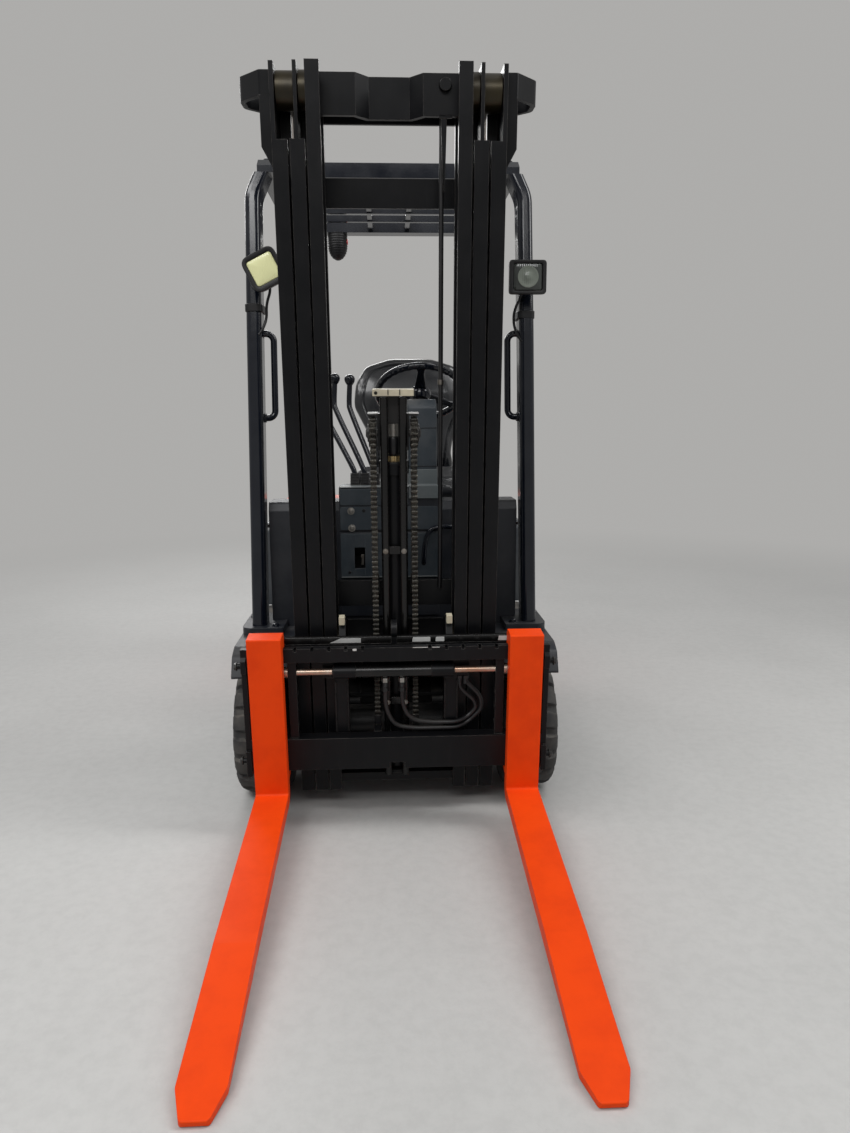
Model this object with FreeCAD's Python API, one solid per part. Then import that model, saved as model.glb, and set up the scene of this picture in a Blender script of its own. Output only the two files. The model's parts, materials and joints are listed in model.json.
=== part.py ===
import FreeCAD, Part
import math
import os

Vec = FreeCAD.Vector

# Driving sizes, in millimetres. The truck's frame has its drive axle at y = 0, the floor at z = 0
# and its forks towards -y. Mast pieces are drawn upright, with y as the distance behind the forks'
# front faces, and lean() then sets them in place.
fork_length = 1067.0
fork_width = 101.6
fork_thick = 38.1
fork_height = 553.0
fork_outer = 443.0
heel_height = 126.8
load_distance = 370.0
wheel_base = 1320.0
rear_overhang = 255.0
forward_tilt = 5.0

# Wheels.
front_tyre_d = 457.0
front_tyre_w = 178.0
front_track_outer = 540.0
rim_d = 204.0
steer_tyre_d = 380.0
steer_tyre_w = 115.0
steer_gap = 50.0
lug_count = 18
lug_depth = 16.0
lug_groove = 26.0
lug_reach = 52.0
front_facets = 54
steer_facets = 36
axle_r = 60.0
running_gap = 0.3

# Mast. Its half width leaves room for the tyres and the chassis plates.
mast_half = front_track_outer - front_tyre_w - 45.0
rail_top = 2235.0
rail_depth = 130.0
flange_thick = 16.0
flange_cut = 2049.0
roller_z = 2178.0
roller_play = 0.4
stage_lift = 1500.0
free_lift = 1370.0
side_shift = 75.0

# One row per rail: stage, outer edge, inner edge, web's outer face, web's inner face, front face,
# bottom, and whether its front flange is cut away at the top.
RAILS = (
    ("outer", mast_half, mast_half - 42, mast_half, mast_half - 12, 150.0, 90.0, True),
    ("middle", mast_half - 49, mast_half - 89, mast_half - 63, mast_half - 73, 142.0, 95.0, True),
    ("inner", mast_half - 95, mast_half - 133, mast_half - 107, mast_half - 117, 134.0, 100.0, False),
)
inner_web = mast_half - 117.0
inner_edge = mast_half - 133.0

# Body.
floor_z = 548.0
deck_z = 555.0
mat_z = 580.0
hood_z = 880.0
hood_front = 470.0
body_half = 512.0
weight_half = 520.0
weight_front = 1052.0
weight_top = 900.0
weight_bottom = 180.0
roof_low = 2085.0
roof_high = 2132.0
roof_front = 137.0
roof_rear = 1070.0
cowl_front = 100.0
cowl_top = 1000.0
dash_left = 160.0
dash_right = -190.0
dash_top = 1050.0
rail_in = mast_half + 13.0
rail_out = rail_in + 16.0
fender_in = rail_out
fender_out = front_track_outer - 12.0
mat_in = fender_in + 38.0
cowl_half = mat_in + 52.0
roof_half = fender_out - 94.0
leg_x = fender_out - 72.0

axle_z = front_tyre_d / 2
rear_end = wheel_base + rear_overhang
steer_z = steer_tyre_d / 2


def box(x0, x1, y0, y1, z0, z1):
    """A block between two corners."""
    return Part.makeBox(x1 - x0, y1 - y0, z1 - z0, Vec(x0, y0, z0))


def rod(radius, start, end):
    """A round bar between two points."""
    a, b = Vec(*start), Vec(*end)
    return Part.makeCylinder(radius, (b - a).Length, a, b - a)


def ring(outer, inner, start, end):
    """A round tube between two points."""
    return rod(outer, start, end).cut(rod(inner, start, end))


def mirrored(shape):
    """The same shape on the other side of the truck."""
    return shape.mirror(Vec(0, 0, 0), Vec(1, 0, 0))


def fused(shapes):
    """The shapes joined into one solid where they touch."""
    first = shapes[0]
    whole = first.fuse(shapes[1:]) if len(shapes) > 1 else first
    return whole.removeSplitter()


def corner(points, i, radius):
    """Where a round corner starts and ends, and its middle point."""
    p = Vec(*points[i])
    a = Vec(*points[i - 1]) - p
    b = Vec(*points[(i + 1) % len(points)]) - p
    a.normalize()
    b.normalize()
    half = a.getAngle(b) / 2
    reach = radius / math.tan(half)
    middle = a + b
    middle.normalize()
    middle = p + middle * (radius / math.sin(half) - radius)
    return p + a * reach, middle, p + b * reach


def outline(points, radii=None, closed=True):
    """A wire through the points, with each corner rounded by its radius."""
    count = len(points)
    radii = radii or [0.0] * count
    if not isinstance(radii, (list, tuple)):
        radii = [radii] * count
    edges = []
    stops = []
    for i in range(count):
        inner = closed or 0 < i < count - 1
        if radii[i] > 0 and inner:
            start, middle, end = corner(points, i, radii[i])
            stops.append((start, end, Part.Arc(start, middle, end).toShape()))
        else:
            stops.append((Vec(*points[i]), Vec(*points[i]), None))
    for i in range(count):
        if stops[i][2]:
            edges.append(stops[i][2])
        if i < count - 1 or closed:
            start, end = stops[i][1], stops[(i + 1) % count][0]
            if (end - start).Length > 1e-6:
                edges.append(Part.LineSegment(start, end).toShape())
    return Part.Wire(Part.__sortEdges__(edges))


def along_x(points, x0, x1, radii=None):
    """A (y, z) outline carried from x0 to x1."""
    face = Part.Face(outline([(x0, y, z) for y, z in points], radii))
    return face.extrude(Vec(x1 - x0, 0, 0))


def along_y(points, y0, y1, radii=None):
    """An (x, z) outline carried from y0 to y1."""
    face = Part.Face(outline([(x, y0, z) for x, z in points], radii))
    return face.extrude(Vec(0, y1 - y0, 0))


def along_z(points, z0, z1, radii=None):
    """An (x, y) outline carried from z0 to z1."""
    face = Part.Face(outline([(x, y, z0) for x, y in points], radii))
    return face.extrude(Vec(0, 0, z1 - z0))


def turned(points, x=0.0, y=0.0, z=0.0):
    """An (offset along x, radius) outline turned about the x-axis through y, z."""
    face = Part.Face(outline([(x + u, y, z + r) for u, r in points]))
    return face.revolve(Vec(x, y, z), Vec(1, 0, 0), 360)


def swept(points, radii, width, depth, round_off):
    """A tube of rounded rectangular section, width across x, carried along the points."""
    path = outline(points, radii, closed=False)
    start = Vec(*points[0])
    run = Vec(*points[1]) - start
    run.normalize()
    across = Vec(1, 0, 0) - run * run.x
    across.normalize()
    other = run.cross(across)
    signs = ((-1, -1), (1, -1), (1, 1), (-1, 1))
    corners = [start + across * (u * width / 2) + other * (v * depth / 2) for u, v in signs]
    section = outline([tuple(c) for c in corners], round_off)
    maker = Part.BRepOffsetAPI.MakePipeShell(path)
    maker.setBiNormalMode(Vec(1, 0, 0))
    maker.add(section)
    maker.build()
    maker.makeSolid()
    return maker.shape()


def hose(points, radii, radius):
    """A round hose along straight runs joined by tangent arcs."""
    path = outline(points, radii, closed=False)
    start = Vec(*points[0])
    run = Vec(*points[1]) - start
    section = Part.Wire(Part.makeCircle(radius, start, run))
    maker = Part.BRepOffsetAPI.MakePipeShell(path)
    maker.setFrenetMode(False)
    maker.add(section)
    maker.build()
    maker.makeSolid()
    return maker.shape()


def lean(shape):
    """Set an upright mast piece into the truck, leaning forward about the drive axle."""
    placed = shape.copy()
    placed.translate(Vec(0, -load_distance, 0))
    placed.rotate(Vec(0, 0, axle_z), Vec(1, 0, 0), forward_tilt)
    return placed


parts = {}


def keep(name, shape, on_mast=False):
    """Keep a finished sub-part under its name."""
    parts[name] = lean(shape) if on_mast else shape


# Forks: an L of one thickness, its blade thinned towards a chamfered tip, with a hook at the top
# and one at the bottom that grip the two bars.
fork_taper = 430.0
tip_thick = 14.0
tip_flat = 56.0
tip_cut = 68.0
heel_round = 46.0
hook_reach = 74.0
hook_gap = 0.6
bar_front = fork_thick + running_gap
bar_back = 80.0
bar_high = heel_height + fork_height - 44.8
bar_low = heel_height + 101.2
top_bar_low = bar_high - 45.0
low_bar_high = bar_low + 107.0
lip_back = 57.0
lip_height = 24.0


def fork():
    """One fork, centred on x = 0."""
    top = heel_height + fork_height
    side = [
        (-fork_length, heel_height),
        (fork_thick, heel_height),
        (fork_thick, bar_low - 28 - hook_gap),
        (hook_reach, bar_low - 28 - hook_gap),
        (hook_reach, bar_low + lip_height - 4),
        (lip_back + hook_gap, bar_low + lip_height - 4),
        (lip_back + hook_gap, bar_low - hook_gap),
        (fork_thick, bar_low - hook_gap),
        (fork_thick, bar_high + hook_gap),
        (lip_back + hook_gap, bar_high + hook_gap),
        (lip_back + hook_gap, bar_high - lip_height + 4),
        (hook_reach, bar_high - lip_height + 4),
        (hook_reach, top),
        (0, top),
        (0, heel_height + fork_thick),
        (-fork_length + fork_taper, heel_height + fork_thick),
        (-fork_length, heel_height + tip_thick),
    ]
    radii = [4, 34, 0, 4, 4, 0, 0, 0, 0, 0, 0, 4, 14, 4, heel_round - fork_thick, 0, 4]
    half = fork_width / 2
    body = along_x(side, -half, half, radii)
    plan = [
        (-tip_flat / 2, -fork_length - 1),
        (tip_flat / 2, -fork_length - 1),
        (half, -fork_length + tip_cut),
        (half, hook_reach + 1),
        (-half, hook_reach + 1),
        (-half, -fork_length + tip_cut),
    ]
    limit = along_z(plan, heel_height - 1, top + 1, [14, 14, 24, 0, 0, 24])
    return body.common(limit)


fork_mid = fork_outer - fork_width / 2
for side, name in ((1, "fork_left"), (-1, "fork_right")):
    blade = fork()
    blade.translate(Vec(side * fork_mid, 0, 0))
    keep(name, blade, True)

# Side-shift frame: two bars that the forks hang on, joined by end plates and by the perforated
# brackets that hold the ends of the shift cylinder's rod.
end_plate_out = 470.0
end_plate_thick = 16.0
hose_side = mast_half - 86.0
bracket_in = hose_side + side_shift
bracket_out = bracket_in + 26.0
shift_z = bar_high - 85.0
shift_d = 62.0
shift_rod_r = 10.0
shift_barrel_r = 20.0
shift_left = 165.0
shift_right = -182.0
port_z = shift_z - 34.0
hose_top = bar_high - 115.0 - running_gap
port_left = 17.0
port_right = -35.0
eye_x = -6.0
carriage_front = 84.0


def bar_outline(low, high, lip_up):
    """A fork bar's outline: full depth, with a thin lip that a hook reaches behind."""
    if lip_up:
        return [(bar_front, low), (bar_back, low), (bar_back, high - lip_height), (lip_back, high - lip_height),
                (lip_back, high), (bar_front, high)]
    return [(bar_front, low), (lip_back, low), (lip_back, low + lip_height), (bar_back, low + lip_height),
            (bar_back, high), (bar_front, high)]


def shift_frame():
    """The frame that the forks hang on."""
    upper = along_x(bar_outline(top_bar_low, bar_high, True), -end_plate_out, end_plate_out)
    lower = along_x(bar_outline(bar_low, low_bar_high, False), -end_plate_out, end_plate_out)
    notch = box(-24, 24, bar_front - 1, bar_back + 1, bar_low - 1, bar_low + 20)
    lower = lower.cut(notch)
    notches = []
    for i in range(-8, 9):
        if abs(i) > 1:
            notches.append(box(i * 51 - 5, i * 51 + 5, bar_front - 1, lip_back + 1, bar_high - 9, bar_high + 1))
    upper = upper.cut(notches)
    plate_side = [(30, bar_low - 14), (bar_back, bar_low - 14), (bar_back, bar_high - 15), (46, bar_high - 15),
                  (30, bar_high - 35)]
    end = along_x(plate_side, end_plate_out - end_plate_thick, end_plate_out)
    end = end.cut(box(0, 600, 29, bar_front, bar_low + 72, bar_high - 75))
    bracket = box(bracket_in, bracket_out, 48, bar_back, low_bar_high, top_bar_low)
    for z in (low_bar_high + 40, low_bar_high + 90, low_bar_high + 140):
        bracket = bracket.cut(rod(9, (bracket_in - 1, 64, z), (bracket_out + 1, 64, z)))
    bracket = bracket.cut(rod(shift_rod_r + 0.1, (0, shift_d, shift_z), (600, shift_d, shift_z)))
    stops = [rod(9, (end_plate_out - 2, 55, z), (485, 55, z)) for z in (bar_high - 59, bar_low + 29)]
    half = fused([end, bracket] + stops)
    pad_back = carriage_front - running_gap
    pads = [box(-380, 380, bar_back, pad_back, bar_high - 39, bar_high - 9),
            box(-380, 380, bar_back, pad_back, bar_low + 28, bar_low + 64)]
    return fused([upper, lower, half, mirrored(half)] + pads)


def shift_rod():
    """The through rod of the shift cylinder, with a nut at each end."""
    bar = rod(shift_rod_r, (-bracket_out - 14, shift_d, shift_z), (bracket_out + 14, shift_d, shift_z))
    nut = rod(17, (bracket_out + 0.2, shift_d, shift_z), (bracket_out + 12, shift_d, shift_z))
    return fused([bar, nut, mirrored(nut)])


keep("shift_frame", shift_frame(), True)
keep("shift_rod", shift_rod(), True)

# Inner carriage: two upright plates with rollers that run inside the inner rails, two cross bars,
# a lifting eye and the anchors of the lift chains.
carriage_out = mast_half - 141.0
cheek_share = 0.1087
carriage_in = carriage_out - cheek_share * inner_edge
hose_bar = carriage_out + 52.0
carriage_back = 100.0
carriage_low = bar_low + 7.0
carriage_high = bar_high + 55.0
carriage_rollers_z = (bar_low + 72.0, bar_high - 35.0)
chain_x = 61.0
chain_w = 19.0
chain_thick = 16.0
chain_front = 130.0
anchor_z = 335.0
sheave_r = 42.0
sheave_d = chain_front + sheave_r
sheave_z = 1265.0


def roller_centre(stage):
    """How far behind the forks' faces the middle of a rail's channel lies."""
    front = [row[5] for row in RAILS if row[0] == stage][0]
    return front + rail_depth / 2


channel_r = rail_depth / 2 - flange_thick - roller_play


def carriage_frame():
    """The carriage that runs in the inner rails."""
    mid = roller_centre("inner")
    side = [(carriage_back, carriage_low), (mid + 40, carriage_low), (mid + 40, carriage_high - 40),
            (mid - 20, carriage_high), (carriage_back + 30, carriage_high), (carriage_back, carriage_high - 60)]
    cheek = along_x(side, carriage_in, carriage_out, [0, 20, 20, 10, 10, 0])
    bars = [
        box(-400, 400, carriage_front, carriage_back, bar_low + 12, bar_low + 84),
        box(-400, 400, carriage_front, carriage_back, bar_high - 60, bar_high - 3),
        box(-hose_bar, hose_bar, carriage_front, carriage_back, bar_high - 115, bar_high - 60),
    ]
    post = box(carriage_out - 26, carriage_out + 14, carriage_front, carriage_back, bar_low + 84, bar_high - 115)
    eye_y = carriage_front + 20
    eye_z = bar_high + 37
    eye = box(eye_x - 9, eye_x + 9, carriage_front, carriage_back, bar_high - 3, bar_high + 25)
    eye = eye.fuse(rod(28, (eye_x - 9, eye_y, eye_z), (eye_x + 9, eye_y, eye_z)))
    eye = eye.cut(rod(15, (eye_x - 10, eye_y, eye_z), (eye_x + 10, eye_y, eye_z)))
    anchor = box(chain_x - 12, chain_x + 12, carriage_back, chain_front + 10, anchor_z - 35, anchor_z)
    anchor = anchor.fuse(box(chain_x - 12, chain_x + 12, carriage_front, carriage_back, anchor_z - 35, anchor_z))
    saddles = [box(x - 16, x + 16, shift_d + 6, carriage_front, shift_z - 20, shift_z + 20) for x in (-120, 100)]
    shafts = [rod(18, (carriage_out, mid, z), (carriage_out + 4.5, mid, z)) for z in carriage_rollers_z]
    half = fused([cheek, anchor] + shafts)
    whole = fused([half, mirrored(half), eye, post, mirrored(post)] + bars + saddles)
    bore = rod(shift_barrel_r, (shift_right, shift_d, shift_z), (shift_left, shift_d, shift_z))
    return whole.cut(bore)


def carriage_rollers():
    """Four rollers in the inner rails' channels."""
    mid = roller_centre("inner")
    one = [rod(channel_r, (carriage_out + 4.5, mid, z), (inner_web - 2, mid, z)) for z in carriage_rollers_z]
    return Part.makeCompound(one + [mirrored(s) for s in one])


def shift_barrel():
    """The shift cylinder's barrel, open at both ends for its rod."""
    body = rod(shift_barrel_r, (shift_right, shift_d, shift_z), (shift_left, shift_d, shift_z))
    heads = [rod(shift_barrel_r - 0.5, (x, shift_d, shift_z), (x + s * 12, shift_d, shift_z))
             for x, s in ((shift_left, 1), (shift_right, -1))]
    ports = [rod(8, (x, shift_d, shift_z - 15), (x, shift_d, port_z)) for x in (port_right, port_left)]
    whole = fused([body] + heads + ports)
    return whole.cut(rod(shift_rod_r + 0.5, (-400, shift_d, shift_z), (400, shift_d, shift_z)))


keep("carriage_frame", carriage_frame(), True)
keep("carriage_rollers", carriage_rollers(), True)
keep("shift_barrel", shift_barrel(), True)

# Two hoses that feed the shift cylinder. Each drops from its port, runs to the left over the lower
# bar and turns up through the carriage's window to the bar above. One row per hose: the port's x,
# its rise over the lower bar, the x where it ends and its turn's four heights as shares of the way
# up.
hose_r = 7.0
hose_d = 92.0
LOOPS = (
    (port_right, 13.0, hose_bar - 11, (0.31, 0.58, 0.76, 0.87)),
    (port_left, 32.0, hose_bar - 30, (0.24, 0.42, 0.60, 0.74)),
)


def loop(start, rise, end, shares):
    """The middle line of one hose."""
    low = low_bar_high + rise
    turn, side, top, last = [low + share * (hose_top - low) for share in shares]
    return [(start, shift_d, port_z), (start, shift_d, low + 0.45 * (port_z - low)), (start + 28, 70, low + 12),
            (start + 90, 73, low), (hose_bar - 38, 73, low), (hose_bar - 2, hose_d, low + 9),
            (end + 55, hose_d + 4, turn), (end + 47, hose_d + 3, side), (end + 17, hose_d + 1, top),
            (end, hose_d, last), (end, hose_d, hose_top)]


def bends(route):
    """The bend at each inner point of a route, nearly as wide as its neighbours allow."""
    radii = [0.0]
    for i in range(1, len(route) - 1):
        p, a, b = Vec(*route[i]), Vec(*route[i - 1]), Vec(*route[i + 1])
        turn = math.pi - (a - p).getAngle(b - p)
        radii.append(0.45 * min((a - p).Length, (b - p).Length) / math.tan(turn / 2))
    return radii + [0.0]


routes = [loop(*row) for row in LOOPS]
keep("carriage_hoses", Part.makeCompound([hose(route, bends(route), hose_r) for route in routes]), True)

# Rails of the three stages, with their ties and guide rollers.


def rail(row):
    """One rail: a channel, or a beam with its web inside its flanges."""
    stage, outer, inner, web_out, web_in, front, bottom, cut = row
    back = front + rail_depth
    shape = fused([
        box(web_in, web_out, front, back, bottom, rail_top),
        box(inner, outer, front, front + flange_thick, bottom, rail_top),
        box(inner, outer, back - flange_thick, back, bottom, rail_top),
    ])
    if cut:
        shape = shape.cut(box(inner - 1, web_in, front - 1, front + flange_thick, flange_cut, rail_top + 1))
        shape = shape.cut(box(web_out, outer + 1, front - 1, front + flange_thick, flange_cut, rail_top + 1))
    return shape


tie_gap = 6.0
middle_tie_back = 284.0
outer_tie_front = middle_tie_back + tie_gap
outer_tie_back = 302.0
lift_x = mast_half - 21.0
lift_d = 336.0
lift_barrel_r = 28.0
lift_bore_r = 22.5
lift_rod_r = 20.0
lift_foot_z = 330.0
lift_head_z = 2050.0
lift_cap_z = 2160.0
head_top = 2215.0
low_roller_z = 170.0
ear_in = mast_half - 34.0
ear_out = mast_half - 8.0
ear_r = 86.0
outer_back = 280.0
wing_low = 2165.0
wing_high = 2226.0
tilt_eye_x = mast_half - 117.0
tilt_eye_d = 330.0
tilt_eye_z = 480.0
tilt_eye_r = 12.0
tilt_ear = 8.0
rod_overlap = 90.0
ram_overlap = 25.0
chain_end_z = 785.0
mast_hose_x = chain_x + 0.675 * (inner_edge - chain_x)
mast_hose_d = 228.0


def outer_tie(z0, z1):
    """A tie across the outer rails, hollowed so that the middle stage's ties pass in front."""
    clear = mast_half - 43
    whole = box(-mast_half, mast_half, outer_back, outer_tie_back, z0, z1)
    return whole.cut(box(-clear, clear, outer_back - 1, outer_tie_front, z0 - 1, z1 + 1))


def outer_mast():
    """Outer rails, ties, the ears that turn on the drive axle and the bow at the top."""
    beams = rail(RAILS[0])
    ear = along_x([(outer_back, 120), (outer_back, 329), (load_distance - 20, axle_z + 84),
                   (load_distance + 30, axle_z + 60), (load_distance + 30, axle_z - 60),
                   (load_distance - 20, axle_z - 84)], ear_in, ear_out)
    ear = ear.fuse(rod(ear_r, (ear_in, load_distance, axle_z), (ear_out, load_distance, axle_z)))
    ear = ear.cut(rod(axle_r + 0.1, (ear_in - 1, load_distance, axle_z), (ear_out + 1, load_distance, axle_z)))
    m = mast_half
    foot = box(m - 47, m, outer_back, lift_d + 26, lift_foot_z - 26, lift_foot_z)
    shaft = rod(20, (m - 14, roller_centre("middle"), roller_z), (m - 12, roller_centre("middle"), roller_z))
    pad = box(m, m + 33, 192, 246, 1978, wing_low).cut(
        along_y([(m, 1977), (m + 34, 1977), (m + 34, 2040)], 190, 248))
    half = fused([beams, ear, foot, shaft, pad])
    outside = [(m, 192), (m + 31, 192), (m + 95, 262), (m + 95, 330), (m + 23, 400)]
    inside = [(m + 17, 386), (m + 81, 324), (m + 81, 268), (m + 25, 206), (m, 206)]
    plan = outside + [(-x, d) for x, d in reversed(outside)] + [(-x, d) for x, d in reversed(inside)] + inside
    wide = [0, 10, 34, 34, 30]
    tight = [20, 24, 24, 8, 0]
    bow = along_z(plan, wing_low, wing_high, wide + wide[::-1] + tight[::-1] + tight)
    ties = [outer_tie(100, 215), outer_tie(560, 640), outer_tie(1900, 1980)]
    lugs = []
    for x in (-tilt_eye_x, tilt_eye_x):
        for s in (-1, 1):
            x0 = x + s * 24 - tilt_ear / 2
            lug = along_x([(outer_tie_back, 455), (outer_tie_back, 560), (outer_tie_back + 6, 560),
                           (tilt_eye_d + 18, tilt_eye_z + 14), (tilt_eye_d + 18, tilt_eye_z - 14)], x0, x0 + tilt_ear)
            lugs.append(lug)
    lug_tie = outer_tie(440, 560)
    pins = [rod(tilt_eye_r, (x - 40, tilt_eye_d, tilt_eye_z), (x + 40, tilt_eye_d, tilt_eye_z))
            for x in (-tilt_eye_x, tilt_eye_x)]
    return fused([half, mirrored(half), bow, lug_tie] + ties + lugs + pins)


def rollers(rows):
    """Guide rollers from rows of inner face, outer face, channel centre and height."""
    made = []
    for x0, x1, centre, z in rows:
        one = rod(channel_r, (x0, centre, z), (x1, centre, z))
        made += [one, mirrored(one)]
    return Part.makeCompound(made)


def middle_mast():
    """Middle rails with their ties and the heads that the lift rods push."""
    beams = rail(RAILS[1])
    m = mast_half
    low_shaft = rod(20, (m - 63, roller_centre("outer"), low_roller_z), (m - 47, roller_centre("outer"), low_roller_z))
    top_shaft = rod(20, (m - 75, roller_centre("inner"), roller_z), (m - 73, roller_centre("inner"), roller_z))
    head = box(m - 81, m + 7, 286, lift_d + 28, lift_cap_z, head_top)
    head = head.fuse(box(m - 81, m - 49, 272, 286, lift_cap_z, head_top))
    half = fused([beams, low_shaft, top_shaft, head])
    levels = ((110, 200), (2115, head_top))
    ties = [box(49 - m, m - 49, 272, middle_tie_back, z0, z1) for z0, z1 in levels]
    return fused([half, mirrored(half)] + ties)


def inner_mast():
    """Inner rails with the bent tie at the top and the foot that the free-lift cylinder stands on."""
    beams = rail(RAILS[2])
    m = mast_half
    low_shaft = rod(20, (m - 107, roller_centre("middle"), low_roller_z + 5),
                    (m - 93, roller_centre("middle"), low_roller_z + 5))
    half = fused([beams, low_shaft])
    w = inner_web
    bends = ((0.46 * w, 200), (0.28 * w, 240), (0.32 * w, 256), (0.49 * w, 216))
    half_plan = [(w, 200), bends[0], bends[1]]
    half_back = [bends[2], bends[3], (w, 216)]
    plan = [(-x, d) for x, d in half_plan] + half_plan[::-1] + half_back[::-1] + [(-x, d) for x, d in half_back]
    tie = along_z(plan, rail_top - 115, rail_top - 10)
    foot = box(-w, w, 150, 248, 122, 150)
    brace = box(-inner_edge, inner_edge, 250, 264, chain_end_z - 85, chain_end_z)
    back = sheave_d + sheave_r
    anchor = box(chain_x - 12, chain_x + 12, back - 10, 250, chain_end_z - 30, chain_end_z)
    clip = box(mast_hose_x - 12, mast_hose_x + 12, 216, mast_hose_d - hose_r, 2150, 2180)
    return fused([half, mirrored(half), tie, foot, brace, anchor, mirrored(anchor), clip])


keep("outer_mast", outer_mast(), True)
keep("outer_rollers", rollers([(mast_half - 61, mast_half - 14, roller_centre("middle"), roller_z)]), True)
keep("middle_mast", middle_mast(), True)
keep("middle_rollers", rollers([(mast_half - 47, mast_half - 14, roller_centre("outer"), low_roller_z),
                                (mast_half - 105, mast_half - 75, roller_centre("inner"), roller_z)]), True)
keep("inner_mast", inner_mast(), True)
keep("inner_rollers", rollers([(mast_half - 93, mast_half - 75, roller_centre("middle"), low_roller_z + 5)]), True)

# Lift cylinders behind the outer rails.
barrels = []
rods = []
for s in (-1, 1):
    x = s * lift_x
    outer = rod(lift_barrel_r, (x, lift_d, lift_foot_z), (x, lift_d, lift_head_z))
    bore = rod(lift_bore_r, (x, lift_d, lift_foot_z + 20), (x, lift_d, lift_head_z + 1))
    barrels.append(outer.cut(bore))
    low = lift_head_z - stage_lift - rod_overlap
    rods.append(rod(lift_rod_r, (x, lift_d, low), (x, lift_d, lift_cap_z)))
keep("lift_barrels", Part.makeCompound(barrels), True)
keep("lift_rods", Part.makeCompound(rods), True)

# Free-lift cylinder on the inner stage, with two guide posts in front of it.
free_d = 196.0
free_r = 38.0
free_bore_r = 30.0
free_rod_r = 24.0
free_top = 1180.0
post_x = 28.0
post_d = 142.0
post_r = 12.0
post_top = 1370.0
head_z = 1375.0


def free_cylinder():
    """The free-lift cylinder's barrel and its gland."""
    barrel = rod(free_r, (0, free_d, 150), (0, free_d, free_top))
    barrel = barrel.fuse(rod(free_r + 6, (0, free_d, free_top - 30), (0, free_d, free_top)))
    barrel = barrel.cut(rod(free_bore_r, (0, free_d, 172), (0, free_d, free_top - 20)))
    return barrel.cut(rod(free_rod_r + 0.3, (0, free_d, 172), (0, free_d, free_top + 1)))


def guide_posts():
    """The two posts, held at the foot and by two bands round the barrel."""
    posts = [rod(post_r, (x, post_d, 150), (x, post_d, post_top)) for x in (-post_x, post_x)]
    bands = []
    for z in (400, 900):
        band = box(-post_x - post_r, post_x + post_r, post_d, free_d - 10, z, z + 24)
        band = band.cut(rod(free_r + 0.2, (0, free_d, z - 1), (0, free_d, z + 25)))
        bands.append(band)
    return fused(posts + bands)


def crosshead():
    """The head on the free-lift rod: yoke, chain wheels, a web and the pale plate on top."""
    ram = rod(free_rod_r, (0, free_d, free_top - free_lift / 2 - ram_overlap), (0, free_d, 1215))
    block = box(-46, 46, 160, 232, 1215, 1290)
    pin = rod(11, (-76, sheave_d, sheave_z), (76, sheave_d, sheave_z))
    web = box(-20, 20, 160, 178, 1290, head_z)
    caps = []
    for s in (-1, 1):
        arm = box(46, 74, 150, 196, 1317, 1323)
        arm = arm.fuse(box(40, 47, 160, 196, 1280, 1323))
        caps.append(arm if s > 0 else mirrored(arm))
    top = along_z([(-60, 126), (60, 126), (60, 200), (-60, 200)], head_z, head_z + 18, 10)
    wheels = []
    for s in (-1, 1):
        wheels.append(turned([(-12, 0), (12, 0), (12, sheave_r), (9.7, sheave_r), (9.7, sheave_r - 8.2),
                              (-9.7, sheave_r - 8.2), (-9.7, sheave_r), (-12, sheave_r)],
                             s * chain_x, sheave_d, sheave_z))
    return fused([ram, block, pin, web, top] + caps + wheels)


keep("free_lift_cylinder", free_cylinder(), True)
keep("guide_posts", guide_posts(), True)
keep("crosshead", crosshead(), True)

# Lift chains: each strand rises from the carriage, turns over its sheave and comes down to the
# band behind the cylinder.


def lift_chain(x):
    """One leaf chain as a band of its own width and thickness."""
    t = chain_thick / 2
    back = sheave_d + sheave_r
    front = chain_front
    outer = along_x([(front - t, anchor_z), (back + t, anchor_z), (back + t, sheave_z), (front - t, sheave_z)],
                    x - chain_w / 2, x + chain_w / 2)
    cap = rod(sheave_r + t, (x - chain_w / 2, sheave_d, sheave_z), (x + chain_w / 2, sheave_d, sheave_z))
    inner = along_x([(front + t, anchor_z - 1), (back - t, anchor_z - 1), (back - t, sheave_z), (front + t, sheave_z)],
                    x - chain_w, x + chain_w)
    hole = rod(sheave_r - t, (x - chain_w, sheave_d, sheave_z), (x + chain_w, sheave_d, sheave_z))
    low = box(x - chain_w, x + chain_w, back - t - 1, back + t + 1, anchor_z - 1, chain_end_z)
    return outer.fuse(cap).cut([inner, hole, low]).removeSplitter()


keep("lift_chains", Part.makeCompound([lift_chain(-chain_x), lift_chain(chain_x)]), True)

# Mast hose clipped behind the inner stage's top tie.
keep("mast_hose", hose([(mast_hose_x, mast_hose_d, 2190), (mast_hose_x, mast_hose_d, chain_end_z + 70),
                        (mast_hose_x, mast_hose_d + 14.9, chain_end_z - 25)], [0, 300, 0], hose_r), True)

# Wheels. Each tyre is drawn as a ring of flats, with one of them on the floor, and the front tyres
# have grooves cut in from both shoulders.


def flats(level, count, x, y, z):
    """The closed corners of a ring of flats, each as far from the centre as the level."""
    reach = level / math.cos(math.pi / count)
    angles = [(2 * i + 1) * math.pi / count for i in range(count)]
    corners = [Vec(x, y + reach * math.sin(a), z - reach * math.cos(a)) for a in angles]
    return corners + corners[:1]


def skinned(rings):
    """A solid of flat faces over rings of closed corners."""
    loops = [rings[0], rings[-1]]
    for near, far in zip(rings, rings[1:]):
        for i in range(len(near) - 1):
            loops.append([near[i], near[i + 1], far[i + 1], far[i], near[i]])
    return Part.Solid(Part.Shell([Part.Face(Part.makePolygon(corners)) for corners in loops]))


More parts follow.
